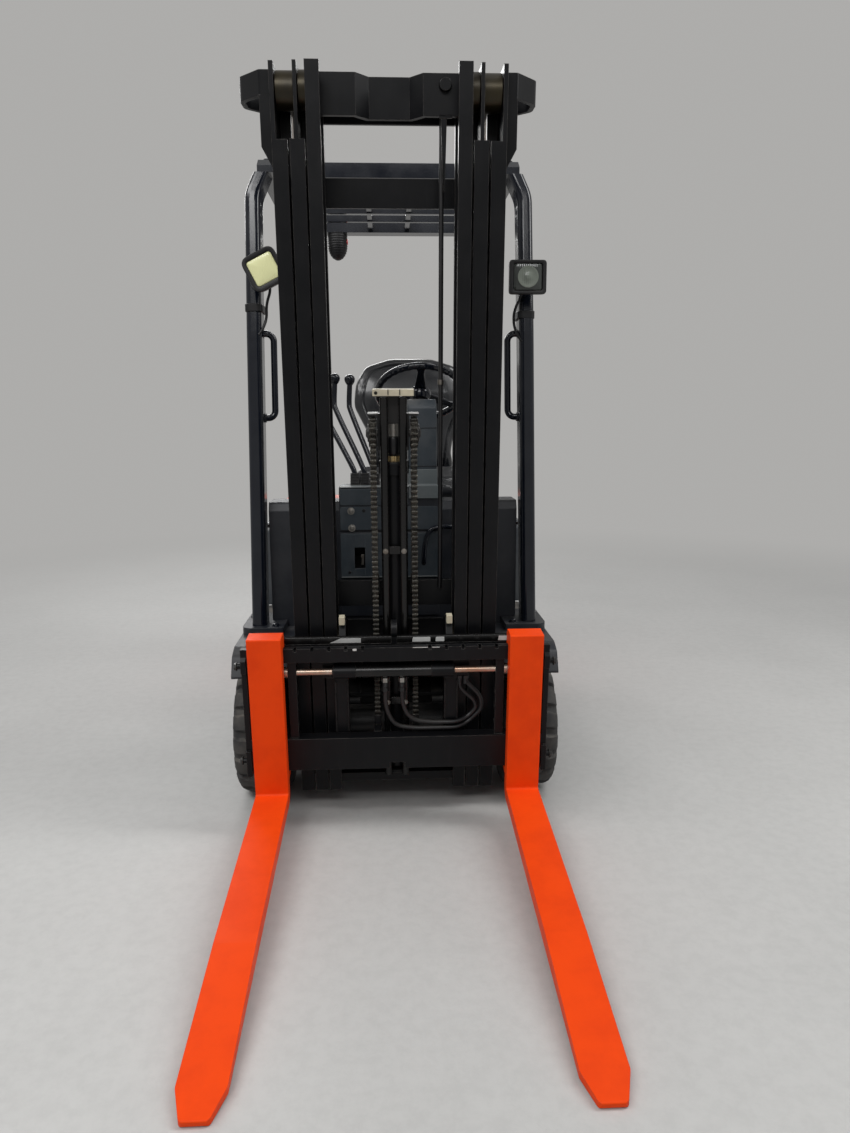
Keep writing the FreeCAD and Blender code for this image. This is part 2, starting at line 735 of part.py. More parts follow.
def tyre(outer_d, width, facets, grooves, x, y, z):
    """A solid tyre centred on x, round but for its flats."""
    r, w = outer_d / 2, width / 2
    levels = ((-w, r - 26), (14 - w, r), (w - 14, r), (w, r - 26))
    body = skinned([flats(level, facets, x + u, y, z) for u, level in levels])
    seat = Part.Face(Part.makePolygon(flats(rim_d / 2 + 0.2, facets, x - w - 1, y, z)))
    body = body.cut(seat.extrude(Vec(width + 2, 0, 0)))
    cuts = []
    for i in range(grooves):
        for s in (-1, 1):
            angle = (i + (0.5 if s > 0 else 0.0)) * 360.0 / grooves
            cut = box(min(s * (w - lug_reach), s * (w + 1)), max(s * (w - lug_reach), s * (w + 1)),
                      -lug_groove / 2, lug_groove / 2, r - lug_depth, r + 5)
            cut.translate(Vec(x, y, z))
            cut.rotate(Vec(x, y, z), Vec(1, 0, 0), angle)
            cuts.append(cut)
    return body.cut(cuts) if cuts else body


def rim(width, x, y, z, face, hub_r, side):
    """A wheel rim with a disc at the given offset and a bore for the hub."""
    w = width / 2 - 6
    r = rim_d / 2
    s = side
    points = [(-w, r - 12), (-w, r), (w, r), (w, r - 12), (s * face + 8, r - 16), (s * face + 8, hub_r),
              (s * face - 8, hub_r), (s * face - 8, r - 16)]
    return turned(points, x, y, z)


front_x = front_track_outer - front_tyre_w / 2
disc_x = 30.0
for s, name in ((1, "left"), (-1, "right")):
    x = s * front_x
    keep("front_tyre_" + name, tyre(front_tyre_d, front_tyre_w, front_facets, lug_count, x, 0, axle_z))
    wheel = rim(front_tyre_w, x, 0, axle_z, disc_x, 42, s)
    hub = rod(42, (x + s * (disc_x - 8), 0, axle_z), (x + s * (disc_x + 26), 0, axle_z))
    keep("front_rim_" + name, fused([wheel, hub]))

# Drive axle: a tube with a gearbox and motor behind it on each side, and a hub flange at each end.
pad_low = axle_z + 40
pad_high = 310.0
flange_x = front_x + disc_x - 8 - running_gap


def drive_axle():
    """The drive axle that the mast also turns on."""
    tube = rod(axle_r, (-rail_in, 0, axle_z), (rail_in, 0, axle_z))
    end = rod(78, (mast_half + 1, 0, axle_z), (rail_out, 0, axle_z))
    end = end.fuse(rod(52, (rail_out, 0, axle_z), (flange_x - 14, 0, axle_z)))
    end = end.fuse(rod(80, (flange_x - 14, 0, axle_z), (flange_x, 0, axle_z)))
    saddle = box(mast_half + 1, rail_out, -50, 50, pad_low, pad_high)
    gear_in, gear_out = mast_half - 187, mast_half - 67
    box_side = along_x([(40, axle_z - 66), (230, axle_z - 96), (300, axle_z - 40), (300, axle_z + 50),
                        (230, axle_z + 96), (40, axle_z + 66)], gear_in, gear_out, 20)
    motor = rod(88, (20, 205, axle_z), (gear_in + 2, 205, axle_z))
    half = fused([end, saddle, box_side, motor])
    middle = rod(62, (-70, 0, axle_z), (70, 0, axle_z))
    link = box(-24, 24, 120, 290, axle_z - 50, axle_z + 50)
    return fused([tube, half, mirrored(half), middle, link])


keep("drive_axle", drive_axle())

# Chassis: two plates over the axle, a bulkhead, a pan under the battery, side plates and a
# crossmember that carries the steering bearing.
bulk_y = 440.0
bulk_t = 16.0
pan_z = 130.0
pan_t = 12.0
side_t = 12.0
frame_top = 540.0
tilt_pin_y = 330.0
tilt_pin_z = 420.0
bear_z = 440.0
bear_t = 30.0
bear_r = 62.0


def chassis():
    """The welded frame."""
    longs = along_x([(-20, pad_high), (bulk_y, pad_high), (bulk_y, frame_top), (60, frame_top), (-20, 470)],
                    rail_in, rail_out)
    lower = box(rail_in, rail_out, 300, bulk_y, pan_z, pad_high)
    bulk = box(-500, 500, bulk_y, bulk_y + bulk_t, pan_z, frame_top)
    pan = box(-500, 500, bulk_y + bulk_t, 1036, pan_z, pan_z + pan_t)
    side = box(500 - side_t, 500, bulk_y + bulk_t, 1036, pan_z + pan_t, frame_top)
    rear = box(-500, 500, 1036, weight_front, pan_z, frame_top)
    cross = box(-rail_in, rail_in, 60, 84, 512, frame_top)
    ears = []
    for x in (-tilt_eye_x, tilt_eye_x):
        for s in (-1, 1):
            x0 = x + s * 34 - 6
            ear = along_x([(tilt_pin_y - 26, tilt_pin_z - 26), (bulk_y, tilt_pin_z - 60), (bulk_y, tilt_pin_z + 60),
                           (tilt_pin_y - 26, tilt_pin_z + 26)], x0, x0 + 12, [20, 0, 0, 20])
            ears.append(ear)
    bearing = box(-290, 290, weight_front, wheel_base + 120, bear_z, bear_z + bear_t)
    half = fused([longs, lower, side])
    whole = fused([half, mirrored(half), bulk, pan, rear, cross, bearing] + ears)
    whole = whole.cut(rod(bear_r, (0, wheel_base, bear_z - 1), (0, wheel_base, bear_z + bear_t + 1)))
    for x in (-tilt_eye_x, tilt_eye_x):
        whole = whole.cut(rod(12.1, (x - 50, tilt_pin_y, tilt_pin_z), (x + 50, tilt_pin_y, tilt_pin_z)))
    return whole


keep("chassis_frame", chassis())
battery_half = 415.0
battery_front = 484.0
battery_back = 1018.0
battery_top = 800.0
keep("battery", box(-battery_half, battery_half, battery_front, battery_back, pan_z + pan_t, battery_top))

# Tilt cylinders, drawn in the truck's frame along the line from frame pin to mast pin.
lean_a = math.radians(forward_tilt)
eye_y0 = tilt_eye_d - load_distance
eye_z0 = tilt_eye_z - axle_z
eye_y = eye_y0 * math.cos(lean_a) - eye_z0 * math.sin(lean_a)
eye_z = axle_z + eye_y0 * math.sin(lean_a) + eye_z0 * math.cos(lean_a)
pin_gap = math.hypot(eye_y - tilt_pin_y, eye_z - tilt_pin_z)
pin_angle = math.degrees(math.atan2(eye_z - tilt_pin_z, tilt_pin_y - eye_y))
tilt_barrel_r = 32.0
tilt_rod_r = 16.0
tilt_barrels = []
tilt_rods = []
for x in (-tilt_eye_x, tilt_eye_x):
    base = (x, tilt_pin_y, tilt_pin_z)
    barrel = rod(tilt_barrel_r, (x, tilt_pin_y - 30, tilt_pin_z), (x, tilt_pin_y - 270, tilt_pin_z))
    barrel = barrel.fuse(box(x - 20, x + 20, tilt_pin_y - 40, tilt_pin_y, tilt_pin_z - 20, tilt_pin_z + 20))
    barrel = barrel.fuse(rod(24, (x - 20, tilt_pin_y, tilt_pin_z), (x + 20, tilt_pin_y, tilt_pin_z)))
    barrel = barrel.fuse(rod(12, (x - 44, tilt_pin_y, tilt_pin_z), (x + 44, tilt_pin_y, tilt_pin_z)))
    barrel = barrel.cut(rod(tilt_rod_r + 0.4, (x, tilt_pin_y - 60, tilt_pin_z), (x, tilt_pin_y - 271, tilt_pin_z)))
    stem = rod(tilt_rod_r, (x, tilt_pin_y - 150, tilt_pin_z), (x, tilt_pin_y - pin_gap + 18, tilt_pin_z))
    end = rod(22, (x - 16, tilt_pin_y - pin_gap, tilt_pin_z), (x + 16, tilt_pin_y - pin_gap, tilt_pin_z))
    stem = stem.fuse(end)
    stem = stem.cut(rod(14, (x - 17, tilt_pin_y - pin_gap, tilt_pin_z), (x + 17, tilt_pin_y - pin_gap, tilt_pin_z)))
    for shape, group in ((barrel, tilt_barrels), (stem, tilt_rods)):
        shape.rotate(Vec(*base), Vec(1, 0, 0), -pin_angle)
        group.append(shape)
keep("tilt_barrels", Part.makeCompound(tilt_barrels))
keep("tilt_rods", Part.makeCompound(tilt_rods))

# Steering: a post between the twin wheels, turning in the crossmember.
post_half = 20.0
hub_r = 30.0
table_low = 404.0


def steer_yoke():
    """The steering post with its axle."""
    leg = box(-post_half, post_half, wheel_base - 62, wheel_base + 62, steer_z - 44, table_low)
    leg = leg.fuse(rod(62, (-post_half, wheel_base, steer_z), (post_half, wheel_base, steer_z)))
    axle = rod(hub_r, (-134, wheel_base, steer_z), (134, wheel_base, steer_z))
    table = rod(150, (0, wheel_base, table_low), (0, wheel_base, bear_z - 6))
    neck = rod(bear_r - 0.5, (0, wheel_base, bear_z - 6), (0, wheel_base, bear_z + bear_t + 20))
    return fused([leg, axle, table, neck])


keep("steer_yoke", steer_yoke())
steer_x = steer_gap / 2 + steer_tyre_w / 2
twin_tyres = []
twin_rims = []
for s in (-1, 1):
    twin_tyres.append(tyre(steer_tyre_d, steer_tyre_w, steer_facets, 0, s * steer_x, wheel_base, steer_z))
    twin_rims.append(rim(steer_tyre_w, s * steer_x, wheel_base, steer_z, 8.0, hub_r + 0.1, s))
keep("steer_tyres", Part.makeCompound(twin_tyres))
keep("steer_rims", Part.makeCompound(twin_rims))

# Counterweight: a rounded block with an arch for the steered wheels and a towing pocket.
tow_z = 600.0
tow_r = 13.0
tow_y = rear_end - 45.0
tow_seat_z = 740.0


def counterweight():
    """The cast weight behind the battery."""
    plan = [(-weight_half, weight_front), (weight_half, weight_front), (weight_half, rear_end), (-weight_half, rear_end)]
    block = along_z(plan, weight_bottom, weight_top, [0, 0, 210, 210])
    side = [(weight_front - 1, weight_bottom - 1), (rear_end - 40, weight_bottom - 1), (rear_end + 1, 330),
            (rear_end + 1, 700), (rear_end - 110, weight_top + 1), (weight_front - 1, weight_top + 1)]
    block = block.common(along_x(side, -600, 600, [0, 60, 0, 60, 60, 0]))
    arch = along_y([(-300, weight_bottom - 2), (300, weight_bottom - 2), (300, bear_z), (-300, bear_z)],
                   weight_front - 2, rear_end + 2)
    well = box(-291, 291, weight_front - 1, wheel_base + 121, bear_z - 1, bear_z + bear_t)
    shaft = rod(bear_r + 20, (0, wheel_base, bear_z), (0, wheel_base, bear_z + bear_t + 40))
    slot = box(-60, 60, rear_end - 90, rear_end + 2, tow_z - 40, tow_z + 40)
    hole = rod(tow_r, (0, tow_y, tow_z - 90), (0, tow_y, weight_top + 20))
    seat = along_z([(-34, tow_y - 34), (34, tow_y - 34), (34, rear_end + 2), (-34, rear_end + 2)],
                   tow_seat_z, weight_top + 20, [20, 20, 0, 0])
    return block.cut([arch, well, shaft, slot, hole, seat])


keep("counterweight", counterweight())

# Floor, steps and fenders, with the thick plates that the front legs of the guard stand on.
mat_back = 210.0
arch_r = 252.0


def floor_plate():
    """The operator's floor."""
    narrow = rail_out - 1
    points = [(-narrow, 84), (narrow, 84), (narrow, 302), (506, 302), (506, hood_front - 6), (-506, hood_front - 6),
              (-506, 302), (-narrow, 302)]
    return along_z(points, frame_top, floor_z)


def fender(side):
    """The cover over a front tyre, with its arch and the thick plate under the guard's leg."""
    profile = [(-232, 470), (-200, deck_z - 20), (-150, deck_z), (300, deck_z), (300, 330), (240, 330)]
    body = along_x(profile, fender_in, fender_out, [6, 30, 30, 0, 0, 0])
    body = body.cut(rod(arch_r, (fender_in - 1, 0, axle_z), (fender_out + 1, 0, axle_z)))
    points = [(mat_in, -16), (fender_out, -16), (fender_out, mat_back), (mat_in, mat_back)]
    mat = along_z(points, deck_z, mat_z, [4, 34, 20, 4])
    body = fused([body, mat])
    return body if side > 0 else mirrored(body)


def steps():
    """A step on each side, below the floor."""
    tread = box(rail_out, 508, 304, bulk_y, 300, 314)
    riser = box(rail_out, 508, bulk_y - 8, bulk_y, 314, 360)
    side = box(rail_out, rail_out + 8, 304, bulk_y - 8, 314, 360)
    one = fused([tread, riser, side])
    return Part.makeCompound([one, mirrored(one)])


keep("floor_plate", floor_plate())
keep("fenders", Part.makeCompound([fender(1), fender(-1)]))
keep("steps", steps())

# Overhead guard.
leg_w = 50.0
leg_d = 90.0


def front_leg(side):
    """A front leg, nearly upright and then bent in and back to the roof."""
    path = [(leg_x + 16.3, 54, mat_z - 20), (leg_x, 105, 1560), (leg_x - 5, 160, 2010),
            (roof_half - 41, 192, roof_low + 65)]
    body = swept(path, [0, 260, 130, 0], leg_w, leg_d, 18)
    above = box(200, 600, -200, 600, roof_low, roof_low + 400)
    body = body.cut([above, box(200, 600, -200, 600, 0, mat_z)])
    return body if side > 0 else mirrored(body)


def rear_leg(side):
    """A rear leg on the counterweight."""
    foot = weight_half - 95.5
    path = [(foot, 1180.7, weight_top - 20), (foot - 12.5, 1140, 1500), (roof_half - 30, 1024, roof_low + 65)]
    body = swept(path, [0, 400, 0], leg_w, leg_d - 20, 18)
    above = box(200, 600, 800, 1600, roof_low, roof_low + 400)
    body = body.cut([above, box(200, 600, 800, 1600, 0, weight_top)])
    return body if side > 0 else mirrored(body)


roof_bar_first = 440.0
roof_bar_pitch = 134.0
header_front = roof_front + 55.0
header_back = header_front + 60.0
rear_front = roof_rear - 70.0


def roof():
    """The roof: a frame of tubes with bars across it and two spines along it."""
    inside = roof_half - 52
    rail_side = box(inside, roof_half, roof_front, roof_rear, roof_low, roof_high)
    header = box(-inside, inside, header_front, header_back, roof_low, roof_high)
    rear = box(-roof_half, roof_half, rear_front, roof_rear, roof_low, roof_high)
    bars = []
    for i in range(4):
        y = roof_bar_first + i * roof_bar_pitch
        bars.append(box(-inside, inside, y - 10, y + 10, roof_low + 6, roof_low + 32))
    spines = [box(x - 10, x + 10, header_back, rear_front, roof_low + 10, roof_high - 8) for x in (-79, 79)]
    whole = fused([rail_side, mirrored(rail_side), header, rear] + bars + spines)
    edge = along_x([(roof_front - 1, roof_high - 26), (roof_front - 1, roof_high + 1), (roof_front + 34, roof_high + 1)],
                   -roof_half - 1, roof_half + 1)
    return whole.cut(edge)


def grab_handle():
    """A bar inside a front leg."""
    path = [(leg_x - 10, 100, 1290), (leg_x - 54, 118, 1290), (leg_x - 58, 124, 1570), (leg_x - 12, 118, 1570)]
    return hose(path, [0, 25, 25, 0], 11)


front_left = fused([front_leg(1), grab_handle()])
keep("guard_front_legs", Part.makeCompound([front_left, mirrored(front_left)]))
keep("guard_rear_legs", Part.makeCompound([rear_leg(1), rear_leg(-1)]))
keep("guard_roof", roof())

# Cowl between the front legs, open below onto the floor. One row per panel on its front: bottom,
# top and how far it stands out.
PANELS = ((898.0, 986.0, 0.0), (732.0, 892.0, 5.0), (590.0, 640.0, 2.0))


def front_cowl():
    """The dash and front panels."""
    outer = [(cowl_front, floor_z), (cowl_front, cowl_top - 30), (cowl_front + 14, cowl_top), (250, cowl_top),
             (262, 780), (190, floor_z)]
    t = 6.0
    inner = [(cowl_front + t, floor_z - 1), (cowl_front + t, cowl_top - 32), (cowl_front + 18, cowl_top - t),
             (250 - t, cowl_top - t), (262 - t - 1, 782), (190 - t - 1, floor_z - 1)]
    shell = along_x(outer, -cowl_half, cowl_half, [0, 12, 12, 16, 30, 0])
    shell = shell.cut(along_x(inner, -cowl_half + t, cowl_half - t))
    dash = along_x([(cowl_front - 4, cowl_top - 14), (cowl_front - 4, dash_top - 12), (cowl_front + 8, dash_top),
                    (252, dash_top), (254, cowl_top - 14)], dash_right, dash_left, [0, 8, 8, 10, 0])
    hollow = box(dash_right + t, dash_left - t, cowl_front + t, 246, cowl_top - t - 1, dash_top - t)
    panels = [box(dash_right, dash_left, cowl_front - 4 - out, cowl_front, low, high) for low, high, out in PANELS]
    shell = fused([shell, dash] + panels)
    slot = box(-139, -102, cowl_front - 20, cowl_front + 20, 764, 839)
    deck = box(fender_in - 1, cowl_half + 1, 0, 400, floor_z - 1, deck_z + running_gap)
    mat = box(mat_in - 1, cowl_half + 1, 0, mat_back + 1, floor_z - 1, mat_z + running_gap)
    return shell.cut([hollow, slot, deck, mirrored(deck), mat, mirrored(mat)])


keep("front_cowl", front_cowl())
col_x = 105.0
col_half = 51.0
wheel_y = 345.0
wheel_z = 1380.0
wheel_r = 157.0
wheel_tube = 13.0
wheel_tilt = 35.0
up_y = math.sin(math.radians(wheel_tilt))
up_z = math.cos(math.radians(wheel_tilt))


def column_cover():
    """The box that houses the steering column."""
    side = [(150, dash_top), (150, 1330), (190, 1357), (262, 1296), (246, 1180), (246, dash_top)]
    return along_x(side, col_x - col_half, col_x + col_half, [0, 14, 14, 14, 20, 0])


def steering_wheel():
    """Rim, three spokes, hub and the column's upper end."""
    centre = Vec(col_x, wheel_y, wheel_z)
    up = Vec(0, up_y, up_z)
    rim_ring = Part.makeTorus(wheel_r, wheel_tube, centre, up)
    hub = Part.makeCylinder(38, 40, centre - up * 32, up)
    column = Part.makeCylinder(20, 160, centre - up * 170, up)
    spokes = []
    flat = Vec(0, -up_z, up_y)
    for angle in (90, 210, 330):
        a = math.radians(angle)
        out = Vec(1, 0, 0) * math.cos(a) + flat * math.sin(a)
        spokes.append(Part.makeCylinder(9, wheel_r - 24, centre + out * 22 - up * 8, out))
    return fused([rim_ring, hub, column] + spokes).cut(parts["column_cover"])


keep("column_cover", column_cover())
keep("steering_wheel", steering_wheel())

# Levers, pedals and lamps. One lever row: foot x, knob x, knob y, knob z.
LEVERS = ((-173.0, -258.0, 280.0, 1424.0), (-137.0, -206.0, 280.0, 1420.0), (-101.0, -154.0, 280.0, 1413.0))
gaiter_h = 42.0


def levers():
    """Lever rods with their gaiters and knobs."""
    made = []
    for foot, top_x, top_y, top_z in LEVERS:
        gaiter = Part.makeCone(16.5, 11, gaiter_h, Vec(foot, 205, dash_top), Vec(0, 0, 1))
        stem = hose([(foot, 205, dash_top + gaiter_h - 6), (foot - 6, 208, dash_top + gaiter_h + 60),
                     (top_x, top_y, top_z)], [0, 120, 0], 6)
        knob = Part.makeSphere(19, Vec(top_x, top_y, top_z + 8))
        made.append(fused([gaiter, stem, knob]))
    return Part.makeCompound(made)


def pedals():
    """Accelerator and brake on the floor."""
    made = []
    for x, w in ((150.0, 60.0), (20.0, 90.0)):
        pad = along_x([(322, 600), (314, 596), (262, 690), (270, 694)], x - w / 2, x + w / 2)
        arm = hose([(x, 282, floor_z), (x, 282, 600), (x, 287, 650)], [0, 40, 0], 9)
        made.append(fused([pad, arm]))
    return Part.makeCompound(made)


# One row per headlamp: centre x, centre z, half width and half height of the housing, how deep the
# housing is, its corners' radius, half sides of the lens, the lens corners' radius and its turn.
HEADLAMPS = (
    (leg_x - 12, 1735.0, 61.0, 53.0, 62.0, 12.0, 46.0, 41.0, 6.0, 0.0),
    (52 - leg_x, 1757.0, 58.0, 58.0, 60.0, 28.0, 43.0, 41.0, 10.0, -27.0),
)
arm_x = leg_x - 10
lamps = []
lenses = []
for x, z, half_w, half_h, deep, bend, lens_w, lens_h, lens_bend, turn in HEADLAMPS:
    frame = [(x - half_w, z - half_h), (x + half_w, z - half_h), (x + half_w, z + half_h), (x - half_w, z + half_h)]
    glass = [(x - lens_w, z - lens_h), (x + lens_w, z - lens_h), (x + lens_w, z + lens_h), (x - lens_w, z + lens_h)]
    housing = along_y(frame, 0, deep, bend)
    lens = along_y(glass, -7, 0, lens_bend)
    for shape in (housing, lens):
        shape.rotate(Vec(x, 0, z), Vec(0, 1, 0), turn)
    side = 1 if x > 0 else -1
    arm = box(min(side * (arm_x - 12), side * (arm_x + 12)), max(side * (arm_x - 12), side * (arm_x + 12)),
              deep - 10, 112, z - 14, z + 14)
    lamps.append(fused([housing, arm]).cut(parts["guard_front_legs"]))
    lenses.append(lens)


def rear_lamp():
    """A ribbed dome under the roof's rear tube."""
    x, y = -225.0, roof_rear - 36.0
    profile = [(0, roof_low), (43, roof_low), (43, roof_low - 62), (34, roof_low - 96), (16, roof_low - 108),
               (0, roof_low - 110)]
    face = Part.Face(outline([(x + r, y, z) for r, z in profile], [0, 0, 20, 20, 12, 0]))
    return face.revolve(Vec(x, y, 0), Vec(0, 0, 1), 360)


keep("levers", levers())
keep("pedals", pedals())
keep("headlamps", Part.makeCompound(lamps))
keep("headlamp_lenses", Part.makeCompound(lenses))
keep("rear_lamp", rear_lamp())

# Hood over the battery, carrying the seat. It turns on hinges at its rear top edge.
hood_back = 1036.0
hood_t = 8.0
hood_skirt = 820.0
hinge_y = 1042.0
hinge_z = hood_z + 4.0
hinge_r = 9.0
hinge_pin_r = 5.0
knuckle_w = 36.0
knuckle_in = 284.0


def hood():
    """The hood: a shell open below."""
    outer = along_x([(hood_front, floor_z + 2), (hood_back, floor_z + 2), (hood_back, hood_z), (hood_front, hood_z)],
                    -body_half, body_half, [0, 0, 6, 40])
    inner = box(-body_half + hood_t, body_half - hood_t, hood_front + hood_t, hood_back - hood_t, floor_z, hood_z - hood_t)
    open_back = box(-body_half - 1, body_half + 1, hood_back - hood_t - 1, hood_back + 1, floor_z, hood_skirt)
    shell = outer.cut([inner, open_back])
    outside = knuckle_in + knuckle_w
    barrel = rod(hinge_r, (knuckle_in, hinge_y, hinge_z), (outside, hinge_y, hinge_z))
    leaf = box(knuckle_in, outside, 1000, hinge_y - 7, hood_z, hood_z + 5)
    notch = box(knuckle_in - knuckle_w - 1, knuckle_in, hinge_y - 12, hood_back + 1, hood_z - 12, hood_z + 1)
    bore = rod(hinge_pin_r + 0.1, (-outside - 1, hinge_y, hinge_z), (outside + 1, hinge_y, hinge_z))
    whole = fused([shell, barrel, leaf, mirrored(barrel), mirrored(leaf)])
    return whole.cut([bore, notch, mirrored(notch)])


def hood_hinges():
    """The hinge halves on the counterweight, with their pins."""
    outside = knuckle_in - 0.4
    inside = outside - knuckle_w
    barrel = rod(hinge_r, (inside, hinge_y, hinge_z), (outside, hinge_y, hinge_z))
    leaf = box(inside, outside, hinge_y, weight_front, hinge_z - 26, hinge_z + hinge_r)
    pin = rod(hinge_pin_r, (inside, hinge_y, hinge_z), (knuckle_in + knuckle_w, hinge_y, hinge_z))
    one = fused([barrel, leaf, pin])
    return Part.makeCompound([one, mirrored(one)])


keep("hood", hood())
keep("hood_hinges", hood_hinges())
seat_x = 90.0
seat_base_top = 960.0
cushion_top = 1075.0
seat_base_half = 205.0
cushion_half = 245.0


def seat_cushion():
    """The seat's cushion as a plain rounded block."""
    side = [(570, seat_base_top), (940, seat_base_top), (940, cushion_top - 20), (600, cushion_top), (570, cushion_top - 20)]
    return along_x(side, seat_x - cushion_half, seat_x + cushion_half, [20, 0, 20, 20, 20])


def seat_back():
    """The winged backrest, leaning back, widest at the shoulders."""
    low = seat_base_top + running_gap
    side = [(942, low), (1006, low), (1060, 1530), (1044, 1566), (998, 1566), (944, 1400)]
    half = [(170, low - 6), (206, 1210), (262, 1352), (249, 1460), (208, 1530), (90, 1566)]
    front = [(seat_x + x, z) for x, z in half] + [(seat_x - x, z) for x, z in reversed(half)]
    bend = [10, 180, 70, 70, 60, 60]
    body = along_x(side, seat_x - 270, seat_x + 270, [0, 0, 20, 20, 20, 60])
    return body.common(along_y(front, 800, 1100, bend + bend[::-1]))


base_plan = [(seat_x - seat_base_half, 610), (seat_x + seat_base_half, 610), (seat_x + seat_base_half, 960),
             (seat_x - seat_base_half, 960)]
keep("seat_base", along_z(base_plan, hood_z, seat_base_top, 20))
keep("seat_cushion", seat_cushion())
keep("seat_back", seat_back())

# Put the origin under the middle of the whole truck, and write one file for each sub-part.
front_end = parts["fork_left"].BoundBox.YMin
shift = Vec(0, -(front_end + rear_end) / 2, 0)
os.makedirs("parts", exist_ok=True)
for name, shape in parts.items():
    shape.translate(shift)
    shape.exportStep("parts/" + name + ".step")
    solids = shape.Solids
    print(name, "solids", len(solids), "valid", shape.isValid(), "litres", round(sum(s.Volume for s in solids) / 1e6, 3))
print("shift", shift.y, "front", front_end, "rear", rear_end, "tilt pins", pin_gap, pin_angle)
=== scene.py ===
import json
import logging
import math
from dataclasses import dataclass
from enum import Enum

import bmesh
import bpy
import numpy as np
from mathutils import Matrix, Vector

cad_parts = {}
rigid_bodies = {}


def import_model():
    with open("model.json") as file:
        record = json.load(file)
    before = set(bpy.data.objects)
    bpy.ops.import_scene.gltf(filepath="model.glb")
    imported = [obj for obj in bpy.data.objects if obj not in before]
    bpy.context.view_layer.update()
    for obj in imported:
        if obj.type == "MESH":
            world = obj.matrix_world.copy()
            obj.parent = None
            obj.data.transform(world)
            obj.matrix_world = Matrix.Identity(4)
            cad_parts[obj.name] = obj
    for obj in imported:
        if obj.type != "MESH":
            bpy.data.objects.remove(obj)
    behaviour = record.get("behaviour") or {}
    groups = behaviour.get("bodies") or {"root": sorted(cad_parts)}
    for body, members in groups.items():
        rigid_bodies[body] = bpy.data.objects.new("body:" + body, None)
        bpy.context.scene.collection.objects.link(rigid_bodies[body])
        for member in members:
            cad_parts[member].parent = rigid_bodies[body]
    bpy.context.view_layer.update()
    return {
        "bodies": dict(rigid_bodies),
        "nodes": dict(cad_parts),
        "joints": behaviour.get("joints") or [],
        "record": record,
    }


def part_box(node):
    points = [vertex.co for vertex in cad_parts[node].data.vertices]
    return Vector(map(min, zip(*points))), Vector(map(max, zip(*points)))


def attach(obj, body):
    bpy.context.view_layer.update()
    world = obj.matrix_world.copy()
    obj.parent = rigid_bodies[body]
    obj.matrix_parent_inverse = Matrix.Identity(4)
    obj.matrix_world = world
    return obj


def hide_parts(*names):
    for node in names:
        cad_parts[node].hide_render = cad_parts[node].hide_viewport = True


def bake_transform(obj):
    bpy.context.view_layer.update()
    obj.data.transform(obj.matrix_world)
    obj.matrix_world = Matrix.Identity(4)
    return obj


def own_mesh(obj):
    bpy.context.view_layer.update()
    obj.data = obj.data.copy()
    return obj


LOG = logging.getLogger("forklift")
MM = 0.001
LEAN = math.radians(5.0)
LOAD_DISTANCE = 370.0
AXLE_Z = 228.5


class Axis(Enum):
    """The axis that an outline is carried along, as the order of its two plane axes and itself."""

    X = (1, 2, 0)
    Y = (0, 2, 1)
    Z = (0, 1, 2)


@dataclass
class Part:
    """Points in millimetres with the faces that join them.

    Args:
        points: An array of n places.
        faces: Arrays of corner numbers, one array for each number of corners.
    """

    points: np.ndarray
    faces: list

    def moved(self, x: float = 0.0, y: float = 0.0, z: float = 0.0) -> "Part":
        """Returns the part shifted by the given lengths."""
        return Part(self.points + (x, y, z), self.faces)

    def mirrored(self) -> "Part":
        """Returns the part on the other side of the plane x = 0."""
        return Part(self.points * (-1, 1, 1), self.faces)

    def turned(self, angle: float, axis: str = "X", about: tuple = (0.0, 0.0, 0.0)) -> "Part":
        """Returns the part turned about an axis through a point, by an angle in degrees."""
        spin = np.array(Matrix.Rotation(math.radians(angle), 3, axis))
        return Part((self.points - about) @ spin.T + about, self.faces)

    def repeated(self, places: np.ndarray) -> "Part":
        """Returns a copy of the part at each place, as one part.

        Every copy's points are the part's points plus the place, and its faces are numbered on from
        the copy before it.
        """
        places = np.asarray(places, float).reshape(-1, 3)
        points = (self.points[None] + places[:, None]).reshape(-1, 3)
        return Part(points, self.renumbered(len(places)))

    def posed(self, places: np.ndarray, spins: np.ndarray) -> "Part":
        """Returns a copy at each place, turned by the matrix of the same row."""
        points = np.einsum("kij,nj->kni", spins, self.points) + np.asarray(places, float)[:, None]
        return Part(points.reshape(-1, 3), self.renumbered(len(places)))

    def renumbered(self, copies: int) -> list:
        """Returns the faces of so many copies, each numbered on from the one before."""
        steps = (np.arange(copies) * len(self.points))[:, None, None]
        return [(group[None] + steps).reshape(-1, group.shape[1]) for group in self.faces]


def joined(parts: list) -> Part:
    """Returns several parts as one."""
    points = []
    faces = []
    count = 0
    for part in parts:
        points.append(part.points)
        faces += [group + count for group in part.faces]
        count += len(part.points)
    return Part(np.concatenate(points), faces)


def both(part: Part) -> Part:
    """Returns a part with its mirror image."""
    return joined([part, part.mirrored()])


def net(rows: int, columns: int, wrap_rows: bool = False, wrap_columns: bool = False) -> np.ndarray:
    """Returns the four-cornered faces of a grid of points, closed on itself where asked."""
    row, column = np.meshgrid(np.arange(rows if wrap_rows else rows - 1),
                              np.arange(columns if wrap_columns else columns - 1), indexing="ij")
    next_row, next_column = (row + 1) % rows, (column + 1) % columns
    corners = (row * columns + column, row * columns + next_column,
               next_row * columns + next_column, next_row * columns + column)
    return np.stack(corners, -1).reshape(-1, 4)


def ends(rows: int, columns: int) -> list:
    """Returns the two faces that close the first and last row of a grid."""
    first = np.arange(columns)[None, ::-1]
    return [first, (rows - 1) * columns + np.arange(columns)[None]]


